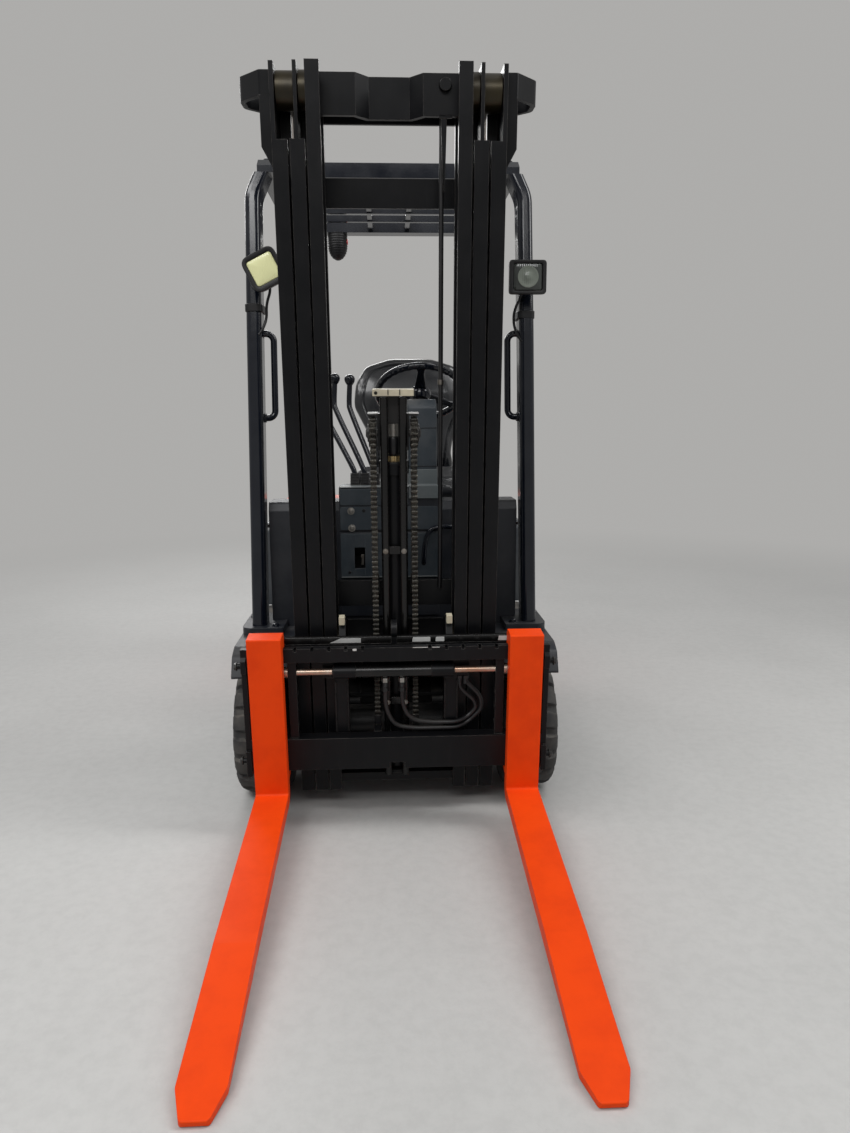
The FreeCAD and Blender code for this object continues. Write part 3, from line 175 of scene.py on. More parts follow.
def rings(grid: np.ndarray, closed: bool = False) -> Part:
    """Returns a skin over rows of closed rings, closed end to end or capped."""
    rows, columns = grid.shape[:2]
    faces = [net(rows, columns, closed, True)]
    if not closed:
        faces += ends(rows, columns)
    return Part(grid.reshape(-1, 3), faces)


def lathe(profile: list, segments: int, axis: Axis = Axis.X, closed: bool = False) -> Part:
    """Returns a profile turned about an axis, capped at its ends or closed on itself.

    Each profile row gives a place along the axis and a radius, and the ring at that row is the
    radius times the cosine and sine of even angles.
    """
    profile = np.asarray(profile, float)
    angle = np.linspace(0, 2 * math.pi, segments, endpoint=False)
    grid = np.empty((segments, len(profile), 3))
    grid[..., axis.value[2]] = profile[None, :, 0]
    grid[..., axis.value[0]] = profile[None, :, 1] * np.cos(angle)[:, None]
    grid[..., axis.value[1]] = profile[None, :, 1] * np.sin(angle)[:, None]
    if closed:
        return rings(grid, True)
    return rings(grid.transpose(1, 0, 2))


def sweep(path: np.ndarray, section: np.ndarray, side: tuple = (1.0, 0.0, 0.0), closed: bool = False) -> Part:
    """Returns a section carried along a path.

    The section's first axis lies along side, made square to the path's direction at each point, and
    its second along their cross product.
    """
    path = np.asarray(path, float)
    if closed:
        run = np.roll(path, -1, 0) - np.roll(path, 1, 0)
    else:
        run = np.gradient(path, axis=0)
    run /= np.linalg.norm(run, axis=1, keepdims=True)
    across = np.asarray(side, float) - run * (run @ np.asarray(side, float))[:, None]
    across /= np.linalg.norm(across, axis=1, keepdims=True)
    other = np.cross(run, across)
    section = np.asarray(section, float)
    if section.ndim == 2:
        section = np.broadcast_to(section, (len(path),) + section.shape)
    grid = path[:, None] + section[..., :1] * across[:, None] + section[..., 1:] * other[:, None]
    return rings(grid, closed)


def circle(radius: float, segments: int = 16) -> np.ndarray:
    """Returns points on a circle."""
    angle = np.linspace(0, 2 * math.pi, segments, endpoint=False)
    return radius * np.stack([np.cos(angle), np.sin(angle)], 1)


def fluted(radius: float, depth: float, count: int, low: float, high: float, axis: Axis = Axis.Z) -> Part:
    """Returns a short drum whose radius falls by the depth in each flute, where cos(n a) is over 0.2."""
    angle = np.linspace(0, 2 * math.pi, count * 8, endpoint=False)
    reach = radius - depth * (np.cos(count * angle) > 0.2)
    return slab(np.stack([reach * np.cos(angle), reach * np.sin(angle)], 1), low, high, axis)


def flat_side(path: np.ndarray) -> np.ndarray:
    """Returns the direction that a path's runs lean on least."""
    return np.linalg.svd(np.diff(path, axis=0))[2][-1]


def tube(points: list, radius: float, rounds: int = 3, segments: int = 14, closed: bool = False) -> Part:
    """Returns a round bar or hose along an eased path."""
    path = eased(points, rounds, closed)
    return sweep(path, circle(radius, segments), flat_side(path), closed)


def weld(start: tuple, end: tuple, radius: float = 3.4) -> Part:
    """Returns a bead of weld, whose radius is r (0.8 + 0.35 |sin|) with a pass each nine millimetres."""
    start, end = np.asarray(start, float), np.asarray(end, float)
    length = np.linalg.norm(end - start)
    t = np.linspace(0, 1, max(4, int(length / 2.2)))
    path = start + (end - start) * t[:, None]
    swell = 0.8 + 0.35 * np.abs(np.sin(t * length * math.pi / 9))
    return sweep(path, circle(radius, 8) * swell[:, None, None], flat_side(path))


def eased(points: list, rounds: int = 3, closed: bool = False) -> np.ndarray:
    """Returns a path with its corners cut off again and again, a quarter from each end of each run."""
    path = np.asarray(points, float)
    for _ in range(rounds):
        after = np.roll(path, -1, 0)
        pair = np.stack([0.75 * path + 0.25 * after, 0.25 * path + 0.75 * after], 1)
        if closed:
            path = pair.reshape(-1, path.shape[1])
        else:
            path = np.concatenate([path[:1], pair[:-1].reshape(-1, path.shape[1]), path[-1:]])
    return path


def rounded(corners: list, radius: float, steps: int = 5) -> np.ndarray:
    """Returns an outline whose corners are parabolas that begin a radius from each corner."""
    corner = np.asarray(corners, float)
    before = np.roll(corner, 1, 0) - corner
    after = np.roll(corner, -1, 0) - corner
    start = corner + before * (radius / np.linalg.norm(before, axis=1, keepdims=True))
    end = corner + after * (radius / np.linalg.norm(after, axis=1, keepdims=True))
    t = np.linspace(0, 1, steps)[None, :, None]
    curve = (1 - t) ** 2 * start[:, None] + 2 * t * (1 - t) * corner[:, None] + t ** 2 * end[:, None]
    return curve.reshape(-1, 2)


def oblong(x0: float, x1: float, y0: float, y1: float, radius: float, steps: int = 5) -> np.ndarray:
    """Returns a rectangle with round corners, between two places on each plane axis."""
    return rounded([(x0, y0), (x1, y0), (x1, y1), (x0, y1)], radius, steps)


def slab(outline: np.ndarray, low: float, high: float, axis: Axis = Axis.Z) -> Part:
    """Returns an outline carried along an axis from one place to another."""
    outline = np.asarray(outline, float)
    grid = np.empty((2, len(outline), 3))
    grid[..., axis.value[0]] = outline[:, 0]
    grid[..., axis.value[1]] = outline[:, 1]
    grid[..., axis.value[2]] = np.array([low, high])[:, None]
    return rings(grid)


def block(x0: float, x1: float, y0: float, y1: float, z0: float, z1: float) -> Part:
    """Returns a block between two corners."""
    return slab([(x0, y0), (x1, y0), (x1, y1), (x0, y1)], z0, z1)


def bolt(radius: float, height: float, axis: Axis = Axis.X, sign: int = 1) -> Part:
    """Returns a six-sided bolt head on a washer, standing along an axis."""
    head = lathe([(sign * 1.5, radius * 1.15), (sign * (height - 1), radius * 1.15),
                  (sign * height, radius * 0.9)], 6, axis)
    washer = lathe([(sign * -0.2, radius * 1.5), (sign * 1.6, radius * 1.5)], 20, axis)
    return joined([head, washer])


def plate(x0: float, x1: float, low: float, high: float, front: float, back: float,
          radius: float = 8.0) -> Part:
    """Returns an upright plate with round corners, from its front face to its back."""
    return slab(oblong(x0, x1, low, high, radius), front, back, Axis.Y)


def sleeve(radius: float, length: float, axis: Axis = Axis.Z) -> Part:
    """Returns a hose's crimped sleeve, standing from the origin, with a six-sided nut at its far end."""
    ribs = [(0, radius * 1.05), (1.5, radius * 1.35)]
    ribs += [(2 + i * 3.0 + j, radius * (1.42 - 0.1 * (j > 1)))
             for i in range(int(length / 5)) for j in (0, 1.6)]
    body = lathe(ribs + [(length * 0.7, radius * 1.3), (length * 0.7, radius)], 24, axis)
    nut = lathe([(length * 0.62, radius * 1.7), (length - 1, radius * 1.7), (length, radius * 1.5)], 6, axis)
    return joined([body, nut])


class Place:
    """Sets parts that are drawn in the truck's or the mast's own millimetres into the row frame."""

    def __init__(self) -> None:
        low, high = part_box("front_rim_left")
        self.shift = (low.y + high.y) / 2 / MM

    def truck(self, points: np.ndarray) -> np.ndarray:
        """Returns metres in the row frame, from the frame with its drive axle at y = 0."""
        return (points + (0.0, self.shift, 0.0)) * MM

    def mast(self, points: np.ndarray) -> np.ndarray:
        """Returns metres in the row frame, from upright mast places (x, behind the forks, up).

        A place turns forward by the lean about the drive axle: with a and b its distances behind and
        above the axle, y = a cos - b sin and z = a sin + b cos.
        """
        behind = points[:, 1] - LOAD_DISTANCE
        above = points[:, 2] - AXLE_Z
        y = behind * math.cos(LEAN) - above * math.sin(LEAN)
        z = AXLE_Z + behind * math.sin(LEAN) + above * math.cos(LEAN)
        return self.truck(np.stack([points[:, 0], y, z], 1))

    def mast_point(self, x: float, behind: float, up: float) -> tuple:
        """Returns one mast place in metres."""
        return tuple(float(v) for v in self.mast(np.array([[x, behind, up]]))[0])


def placed(name: str, data: bpy.types.ID) -> bpy.types.Object:
    """Returns a new object of the scene."""
    made = bpy.data.objects.new(name, data)
    bpy.context.scene.collection.objects.link(made)
    return made


class Graph:
    """Adds shader nodes and joins them."""

    def __init__(self, tree: bpy.types.NodeTree) -> None:
        self.tree = tree

    def node(self, kind: str, settings: dict | None = None, **inputs: object) -> bpy.types.Node:
        """Adds a node.

        Args:
            kind: The node's type.
            settings: Its own properties by name.
            inputs: A socket or a constant for each input, with underscores for spaces.

        Returns:
            The node.
        """
        made = self.tree.nodes.new(kind)
        for name, value in (settings or {}).items():
            setattr(made, name, value)
        for name, value in inputs.items():
            key = int(name[1:]) if name[0] == "i" and name[1:].isdigit() else name.replace("_", " ")
            socket = made.inputs[key]
            if isinstance(value, bpy.types.NodeSocket):
                self.tree.links.new(value, socket)
            else:
                socket.default_value = value
        return made

    def maths(self, operation: str, first: object, second: object = 0.0,
              clamp: bool = False) -> bpy.types.NodeSocket:
        """Returns the outcome of one sum on two values."""
        settings = {"operation": operation, "use_clamp": clamp}
        return self.node("ShaderNodeMath", settings, i0=first, i1=second).outputs[0]

    def mix(self, factor: object, first: object, second: object) -> bpy.types.NodeSocket:
        """Returns a colour between two others."""
        made = self.node("ShaderNodeMix", {"data_type": "RGBA"}, i0=factor)
        for index, value in ((6, first), (7, second)):
            if isinstance(value, bpy.types.NodeSocket):
                self.tree.links.new(value, made.inputs[index])
            else:
                made.inputs[index].default_value = (*value, 1.0)
        return made.outputs[2]

    def noise(self, where: object, scale: float, detail: float = 3.0,
              rough: float = 0.55) -> bpy.types.NodeSocket:
        """Returns a noise value at a place."""
        return self.node("ShaderNodeTexNoise", {}, Vector=where, Scale=scale, Detail=detail,
                         Roughness=rough).outputs["Fac"]

    def ramp(self, value: object, low: float, high: float) -> bpy.types.NodeSocket:
        """Returns the value stretched so that low becomes 0 and high becomes 1, held within them."""
        settings = {"interpolation_type": "SMOOTHSTEP"}
        return self.node("ShaderNodeMapRange", settings, Value=value, From_Min=low, From_Max=high).outputs[0]

    def group(self, tree: bpy.types.NodeTree, **inputs: object) -> bpy.types.Node:
        """Adds a shared effect."""
        return self.node("ShaderNodeGroup", {"node_tree": tree}, **inputs)


def begin_material(name: str) -> tuple:
    """Returns a new material with its graph and its main shader."""
    material = bpy.data.materials.new(name)
    material.use_nodes = True
    return material, Graph(material.node_tree), material.node_tree.nodes["Principled BSDF"]


class Effects:
    """The node groups that several finishes share."""

    def __init__(self) -> None:
        self.edges = self.edge_tree()
        self.dirt_and_sheen = self.dirt_and_sheen_tree()
        self.grain = self.grain_tree()

    @staticmethod
    def begin(name: str, inputs: dict, outputs: dict) -> tuple:
        """Starts a node group.

        Args:
            name: The group's name.
            inputs: A default value for each float input.
            outputs: A socket type for each output.

        Returns:
            The tree, its graph, its input node and its output node.
        """
        tree = bpy.data.node_groups.new(name, "ShaderNodeTree")
        for label, value in inputs.items():
            socket = tree.interface.new_socket(name=label, in_out="INPUT", socket_type="NodeSocketFloat")
            socket.default_value = value
        for label, kind in outputs.items():
            tree.interface.new_socket(name=label, in_out="OUTPUT", socket_type=kind)
        graph = Graph(tree)
        return tree, graph, graph.node("NodeGroupInput"), graph.node("NodeGroupOutput")

    def edge_tree(self) -> bpy.types.NodeTree:
        """Returns a group that rounds edges in the shading and marks them for an edge colour: rubbed paint,
        and partly painted highlight where that colour is paler.
        """
        tree, graph, given, out = self.begin(
            "edge wear", {"Radius": 0.0015, "Wear": 0.5}, {"Normal": "NodeSocketVector",
                                                           "RubbedAndLit": "NodeSocketFloat"})
        soft = graph.node("ShaderNodeBevel", {"samples": 4}, Radius=given.outputs["Radius"])
        flat = graph.node("ShaderNodeNewGeometry")
        dot = graph.node("ShaderNodeVectorMath", {"operation": "DOT_PRODUCT"}, i0=soft.outputs[0],
                         i1=flat.outputs["Normal"]).outputs["Value"]
        edge = graph.ramp(graph.maths("SUBTRACT", 1.0, dot), 0.01, 0.2)
        where = graph.node("ShaderNodeTexCoord").outputs["Object"]
        broken = graph.ramp(graph.noise(where, 38.0, 5.0, 0.65), 0.34, 0.56)
        rubbed_and_lit = graph.maths("MULTIPLY", graph.maths("MULTIPLY", edge, broken), given.outputs["Wear"], True)
        tree.links.new(soft.outputs[0], out.inputs["Normal"])
        tree.links.new(rubbed_and_lit, out.inputs["RubbedAndLit"])
        return tree

    def dirt_and_sheen_tree(self) -> bpy.types.NodeTree:
        """Returns a group for dust that lies on top, and lighter vertical streaking that stands for run-down
        grime and painted sheen.
        """
        tree, graph, given, out = self.begin(
            "dirt_and_sheen", {"Dust": 0.4, "Streaks": 0.3},
            {"Dust": "NodeSocketFloat", "Streaks": "NodeSocketFloat", "Patches": "NodeSocketFloat"})
        where = graph.node("ShaderNodeTexCoord").outputs["Object"]
        facing = graph.node("ShaderNodeSeparateXYZ", {},
                            i0=graph.node("ShaderNodeNewGeometry").outputs["Normal"])
        top = graph.ramp(facing.outputs["Z"], 0.2, 1.0)
        patches = graph.noise(where, 9.0, 5.0, 0.6)
        dust = graph.maths("MULTIPLY", graph.maths("ADD", graph.maths("MULTIPLY", top, 0.8), 0.2),
                           graph.ramp(patches, 0.35, 0.7))
        tree.links.new(graph.maths("MULTIPLY", dust, given.outputs["Dust"], True), out.inputs["Dust"])
        stretched = graph.node("ShaderNodeMapping", {}, Vector=where, Scale=(60.0, 60.0, 1.6)).outputs[0]
        # Long vertical bands of noise that turn the colour lighter: run-down grime and painted vertical
        # sheen.
        runs = graph.ramp(graph.noise(stretched, 1.0, 4.0, 0.6), 0.5, 0.78)
        tree.links.new(graph.maths("MULTIPLY", runs, given.outputs["Streaks"], True), out.inputs["Streaks"])
        tree.links.new(patches, out.inputs["Patches"])
        return tree

    def grain_tree(self) -> bpy.types.NodeTree:
        """Returns a group for the height of a fine skin: orange peel, cast sand or leather."""
        tree, graph, given, out = self.begin("grain", {"Scale": 400.0, "Cells": 0.0},
                                             {"Height": "NodeSocketFloat"})
        where = graph.node("ShaderNodeTexCoord").outputs["Object"]
        fine = graph.node("ShaderNodeTexNoise", {}, Vector=where, Scale=given.outputs["Scale"],
                          Detail=2.0).outputs[0]
        cells = graph.node("ShaderNodeTexVoronoi", {}, Vector=where,
                           Scale=given.outputs["Scale"]).outputs["Distance"]
        blend = graph.node("ShaderNodeMix", {"data_type": "FLOAT"}, i0=given.outputs["Cells"], i2=fine,
                           i3=cells)
        tree.links.new(blend.outputs[0], out.inputs["Height"])
        return tree


@dataclass(frozen=True)
class Finish:
    """A painted, bare, moulded or rubber surface.

    Args:
        colour: Its own colour, linear.
        second: The colour that broad patches drift towards.
        rough: Roughness.
        metal: How metallic it is.
        coat: Weight of the clear coat.
        rubbed_and_lit: Colour of a marked edge: rubbed paint, and partly painted highlight where it is paler
            than the paint.
        wear: How much of the edges is marked.
        dust: How much dust lies on it.
        streaks: How strong its lighter vertical streaking is: run-down grime and painted sheen.
        grain: Fine grains to the metre.
        cells: 0 for an orange peel, 1 for a leather's cells.
        relief: How deep the grain is.
        edge: Radius that edges are shaded with, in metres.
        shine: Specular level.
    """

    colour: tuple
    second: tuple
    rough: float = 0.4
    metal: float = 0.0
    coat: float = 0.0
    rubbed_and_lit: tuple = (0.20, 0.17, 0.15)
    wear: float = 0.5
    dust: float = 0.25
    streaks: float = 0.2
    grain: float = 500.0
    cells: float = 0.0
    relief: float = 0.08
    edge: float = 0.0016
    shine: float = 0.5

    DUST = (0.30, 0.27, 0.23)
    COAT_ROUGH = 0.12

    def build(self, name: str, effects: Effects) -> bpy.types.Material:
        """Makes the material.

        Args:
            name: The material's name.
            effects: The shared node groups.

        Returns:
            The material.
        """
        material, graph, shader = begin_material(name)
        edges = graph.group(effects.edges, Radius=self.edge, Wear=self.wear)
        dirt_and_sheen = graph.group(effects.dirt_and_sheen, Dust=self.dust, Streaks=self.streaks)
        grain = graph.group(effects.grain, Scale=self.grain, Cells=self.cells)
        base = graph.mix(graph.ramp(dirt_and_sheen.outputs["Patches"], 0.35, 0.7), self.colour, self.second)
        # The lighter colour of the vertical streaks, which are partly run-down grime and partly painted
        # sheen.
        lighter = tuple(min(1.0, v * 1.4 + 0.004) for v in self.second)
        base = graph.mix(dirt_and_sheen.outputs["Streaks"], base, lighter)
        base = graph.mix(dirt_and_sheen.outputs["Dust"], base, self.DUST)
        # Marked edges take the edge colour: rubbed paint, and partly painted highlight where it is paler than
        # the paint.
        base = graph.mix(edges.outputs["RubbedAndLit"], base, self.rubbed_and_lit)
        rough = graph.maths("ADD", graph.maths("MULTIPLY", dirt_and_sheen.outputs["Patches"], 0.22), self.rough - 0.11)
        rough = graph.maths("ADD", rough, graph.maths("MULTIPLY", dirt_and_sheen.outputs["Dust"], 0.4), True)
        bump = graph.node("ShaderNodeBump", {}, Strength=self.relief, Distance=0.0008,
                          Height=grain.outputs["Height"], Normal=edges.outputs["Normal"])
        for label, value in (("Base Color", base), ("Roughness", rough), ("Normal", bump.outputs[0])):
            graph.tree.links.new(value, shader.inputs[label])
        for label, value in (("Metallic", self.metal), ("Specular IOR Level", self.shine),
                             ("Coat Weight", self.coat), ("Coat Roughness", self.COAT_ROUGH)):
            shader.inputs[label].default_value = value
        return material


@dataclass(frozen=True)
class Glow:
    """A ribbed lens or bowl of one colour, which may be faintly lit.

    Args:
        colour: Its colour, linear.
        rough: Roughness.
        light: Strength of its own light.
    """

    colour: tuple
    rough: float = 0.08
    light: float = 0.0

    def build(self, name: str, effects: Effects) -> bpy.types.Material:
        """Makes the material, which needs none of the shared effects."""
        material, graph, shader = begin_material(name)
        shader.inputs["Base Color"].default_value = (*self.colour, 1.0)
        shader.inputs["Roughness"].default_value = self.rough
        shader.inputs["Emission Color"].default_value = (*self.colour, 1.0)
        shader.inputs["Emission Strength"].default_value = self.light
        where = graph.node("ShaderNodeTexCoord").outputs["Object"]
        wave = graph.node("ShaderNodeTexWave", {}, Vector=where, Scale=46.0).outputs["Fac"]
        bump = graph.node("ShaderNodeBump", {}, Strength=0.25, Distance=0.001, Height=wave)
        graph.tree.links.new(bump.outputs[0], shader.inputs["Normal"])
        return material


BLACK = (0.0036, 0.0038, 0.0046)
SLATE = (0.022, 0.031, 0.040)
FINISHES = {
    # Black mast paint: its pale edge colour and its lighter vertical streaks are partly painted highlight and
    # painted sheen.
    "mast_black": Finish(BLACK, (0.0052, 0.0052, 0.0060), 0.36, rubbed_and_lit=(0.12, 0.11, 0.10), wear=0.75, dust=0.0,
                         streaks=0.25, edge=0.0026, shine=0.17),
    "fork_orange": Finish((0.80, 0.060, 0.004), (0.72, 0.050, 0.004), 0.46, rubbed_and_lit=(0.14, 0.10, 0.08),
                          wear=0.35, dust=0.0, streaks=0.06, shine=0.1),
    "roller_steel": Finish((0.036, 0.028, 0.013), (0.016, 0.013, 0.008), 0.36, 0.6, wear=0.2, dust=0.04),
    "chrome_rod": Finish((0.62, 0.60, 0.58), (0.42, 0.36, 0.32), 0.16, 1.0, wear=0.0, dust=0.05, streaks=0.1,
                         relief=0.02),
    "crosshead_steel": Finish((0.006, 0.006, 0.007), (0.011, 0.010, 0.010), 0.36, 0.1,
                              rubbed_and_lit=(0.32, 0.30, 0.26), wear=0.6, dust=0.03, shine=0.35),
    # Chain: the pale colour on the plates' edges is partly real wear and partly painted highlight.
    "chain_steel": Finish((0.020, 0.018, 0.015), (0.008, 0.008, 0.007), 0.34, 0.6, rubbed_and_lit=(0.36, 0.33, 0.26),
                          wear=0.8, dust=0.08, edge=0.0009),
    "hose_rubber": Finish((0.006, 0.006, 0.007), (0.010, 0.010, 0.011), 0.40, wear=0.0, dust=0.08,
                          grain=900.0, relief=0.15, edge=0.0006, shine=0.4),
    "tyre_rubber": Finish((0.013, 0.013, 0.014), (0.030, 0.029, 0.028), 0.72, rubbed_and_lit=(0.07, 0.066, 0.062),
                          wear=0.6, dust=0.45, grain=260.0, relief=0.3),
    "rim_grey": Finish((0.10, 0.105, 0.11), (0.075, 0.078, 0.08), 0.45, wear=0.5, dust=0.5),
    "frame_black": Finish((0.005, 0.0055, 0.0065), (0.009, 0.009, 0.010), 0.42, wear=0.5, dust=0.12,
                          shine=0.3),
    "battery_case": Finish((0.022, 0.026, 0.032), (0.035, 0.038, 0.042), 0.5, wear=0.5, dust=0.5),
    "weight_orange": Finish((0.78, 0.068, 0.008), (0.70, 0.058, 0.007), 0.40, coat=0.3, wear=0.25, dust=0.14,
                            grain=130.0, relief=0.16, edge=0.004),
    "floor_steel": Finish((0.014, 0.015, 0.017), (0.024, 0.024, 0.026), 0.75, wear=0.3, dust=0.5, grain=300.0,
                          relief=0.4),
    "slate_plastic": Finish(SLATE, (0.029, 0.039, 0.049), 0.46, rubbed_and_lit=(0.12, 0.13, 0.14), wear=0.35, dust=0.28,
                            grain=700.0, relief=0.16, edge=0.003),
    "guard_blue_black": Finish((0.003, 0.0045, 0.009), (0.005, 0.007, 0.012), 0.20, coat=0.3,
                               rubbed_and_lit=(0.06, 0.06, 0.07), wear=0.25, dust=0.03, streaks=0.12, relief=0.03,
                               edge=0.002, shine=0.3),
    "hood_grey": Finish((0.028, 0.034, 0.042), (0.036, 0.042, 0.05), 0.38, coat=0.2, wear=0.3, dust=0.3,
                        edge=0.003),
    "control_black": Finish((0.006, 0.006, 0.007), (0.009, 0.009, 0.010), 0.40, wear=0.1, dust=0.06,
                            grain=800.0, relief=0.12, shine=0.35),
    "lamp_black": Finish((0.004, 0.004, 0.005), (0.008, 0.008, 0.009), 0.45, wear=0.2, dust=0.05, grain=700.0,
                         relief=0.15, shine=0.3),
    "lamp_glass": Glow((0.66, 0.66, 0.36), 0.14, 0.12),
    "seat_vinyl": Finish((0.005, 0.006, 0.008), (0.009, 0.010, 0.013), 0.32, coat=0.3,
                         rubbed_and_lit=(0.05, 0.05, 0.055), wear=0.15, dust=0.05, streaks=0.05, grain=330.0, cells=1.0,
                         relief=0.12, edge=0.004),
    "seat_shell": Finish((0.010, 0.010, 0.011), (0.018, 0.018, 0.019), 0.55, wear=0.1, dust=0.35, grain=500.0,
                         relief=0.2, edge=0.003),
    "bright_bolt": Finish((0.30, 0.29, 0.27), (0.16, 0.14, 0.12), 0.34, 0.9, wear=0.2, dust=0.25,
                          edge=0.0006),
    "cream_plate": Finish((0.52, 0.47, 0.34), (0.36, 0.32, 0.24), 0.5, wear=0.6, dust=0.4, edge=0.001),
    "copper_rod": Finish((0.42, 0.26, 0.18), (0.46, 0.40, 0.34), 0.34, 0.9, wear=0.0, dust=0.1, streaks=0.3),
    "navy_plastic": Finish((0.0075, 0.0095, 0.014), (0.012, 0.014, 0.019), 0.46, rubbed_and_lit=(0.06, 0.065, 0.075),
                           wear=0.35, dust=0.10, grain=700.0, relief=0.16, edge=0.003, shine=0.4),
    "brass_ring": Finish((0.50, 0.38, 0.20), (0.40, 0.30, 0.16), 0.3, 0.9, wear=0.1, dust=0.1, edge=0.0008),
    "panel_grey": Finish((0.095, 0.11, 0.115), (0.11, 0.125, 0.13), 0.5, wear=0.3, dust=0.35, grain=600.0,
                         relief=0.15, edge=0.003),
    "label_white": Finish((0.55, 0.55, 0.53), (0.40, 0.40, 0.39), 0.45, rubbed_and_lit=(0.05, 0.05, 0.05), wear=0.8,
                          dust=0.3, edge=0.0006),
    "red_lens": Glow((0.55, 0.012, 0.010), 0.12, 0.15),
    "grey_lens": Glow((0.045, 0.05, 0.046), 0.10),
    "lamp_bowl": Glow((0.17, 0.19, 0.16), 0.25),
    "post_black": Finish((0.006, 0.006, 0.006), (0.010, 0.009, 0.009), 0.26, 0.4, rubbed_and_lit=(0.12, 0.11, 0.10),
                         wear=0.3, dust=0.0, shine=0.5),
}


class Floor(Enum):
    """The stage's plain colours, linear."""

    CONCRETE = (0.50, 0.495, 0.48)
    WALL = (0.42, 0.415, 0.405)


@dataclass
class Workshop:
    """What every assembly needs to show its pieces.

    Args:
        place: The mapping into the row frame.
        looks: The materials by name.
        shown: How many pieces it has shown.
    """

    frame: dict
    place: Place
    looks: dict
    shown: int = 0

    FINER = {"guide_posts": "post_black", "shift_barrel": "post_black", "shift_rod": "copper_rod",
             "front_cowl": "navy_plastic", "fenders": "navy_plastic"}

    def show(self, name: str, part: Part, look: str, body: str, mast: bool = False, bevel: float = 0.0,
             replaces: tuple = (), sharp: float = 34.0) -> bpy.types.Object:
        """Makes one finished piece.

        Args:
            name: The piece's name.
            part: Its shape in millimetres.
            look: The material's name.
            body: The body that it rides on.
            mast: Whether the shape is drawn in the mast's upright places.
            bevel: Width of a bevel on sharp edges, in millimetres.
            replaces: The solids that it stands for.
            sharp: Angle in degrees above which an edge stays sharp.

        Returns:
            The object.
        """
        points = self.place.mast(part.points) if mast else self.place.truck(part.points)
        mesh = bpy.data.meshes.new(name)
        mesh.from_pydata(points.tolist(), [], [row for group in part.faces for row in group.tolist()])
        self.close(mesh)
        made = placed(name, mesh)
        if bevel:
            modifier = made.modifiers.new("edges", "BEVEL")
            modifier.width = bevel * MM
            modifier.segments = 2
            modifier.limit_method = "ANGLE"
            modifier.angle_limit = math.radians(sharp)
            modifier.harden_normals = True
        self.finish(made, look, sharp)
        if body:
            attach(made, body)
        if replaces:
            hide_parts(*replaces)
        self.shown += 1
        return made

    @staticmethod
    def close(mesh: bpy.types.Mesh) -> None:
        """Merges doubled points and turns every face outwards."""
        work = bmesh.new()
        work.from_mesh(mesh)
        bmesh.ops.remove_doubles(work, verts=work.verts, dist=1e-6)
        bmesh.ops.recalc_face_normals(work, faces=work.faces)
        work.to_mesh(mesh)
        work.free()

    def finish(self, made: bpy.types.Object, look: str, sharp: float = 34.0) -> None:
        """Gives a piece its material and smooth shading."""
        made.data.materials.append(self.looks[look])
        made.data.polygons.foreach_set("use_smooth", np.ones(len(made.data.polygons), bool))
        made.data.set_sharp_from_angle(angle=math.radians(sharp))

    def dress_solids(self) -> None:
        """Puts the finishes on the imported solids."""
        for row in self.frame["record"]["subparts"]:
            node = self.frame["nodes"][row["node"]]
            for slot in node.material_slots:
                slot.material = self.looks[self.FINER.get(row["node"], row["material_slot"])]


@dataclass
class Assembly:
    """A group of pieces that is shown together.

    Args:
        shop: What shows the pieces.
    """

    shop: Workshop

    UPRIGHT = False

    def show(self, name: str, part: Part, look: str, body: str = "chassis", bevel: float = 0.0,
             replaces: tuple = (), sharp: float = 34.0) -> bpy.types.Object:
        """Shows one piece, drawn in the mast's upright places where the assembly is UPRIGHT."""
        return self.shop.show(name, part, look, body, self.UPRIGHT, bevel, replaces, sharp)


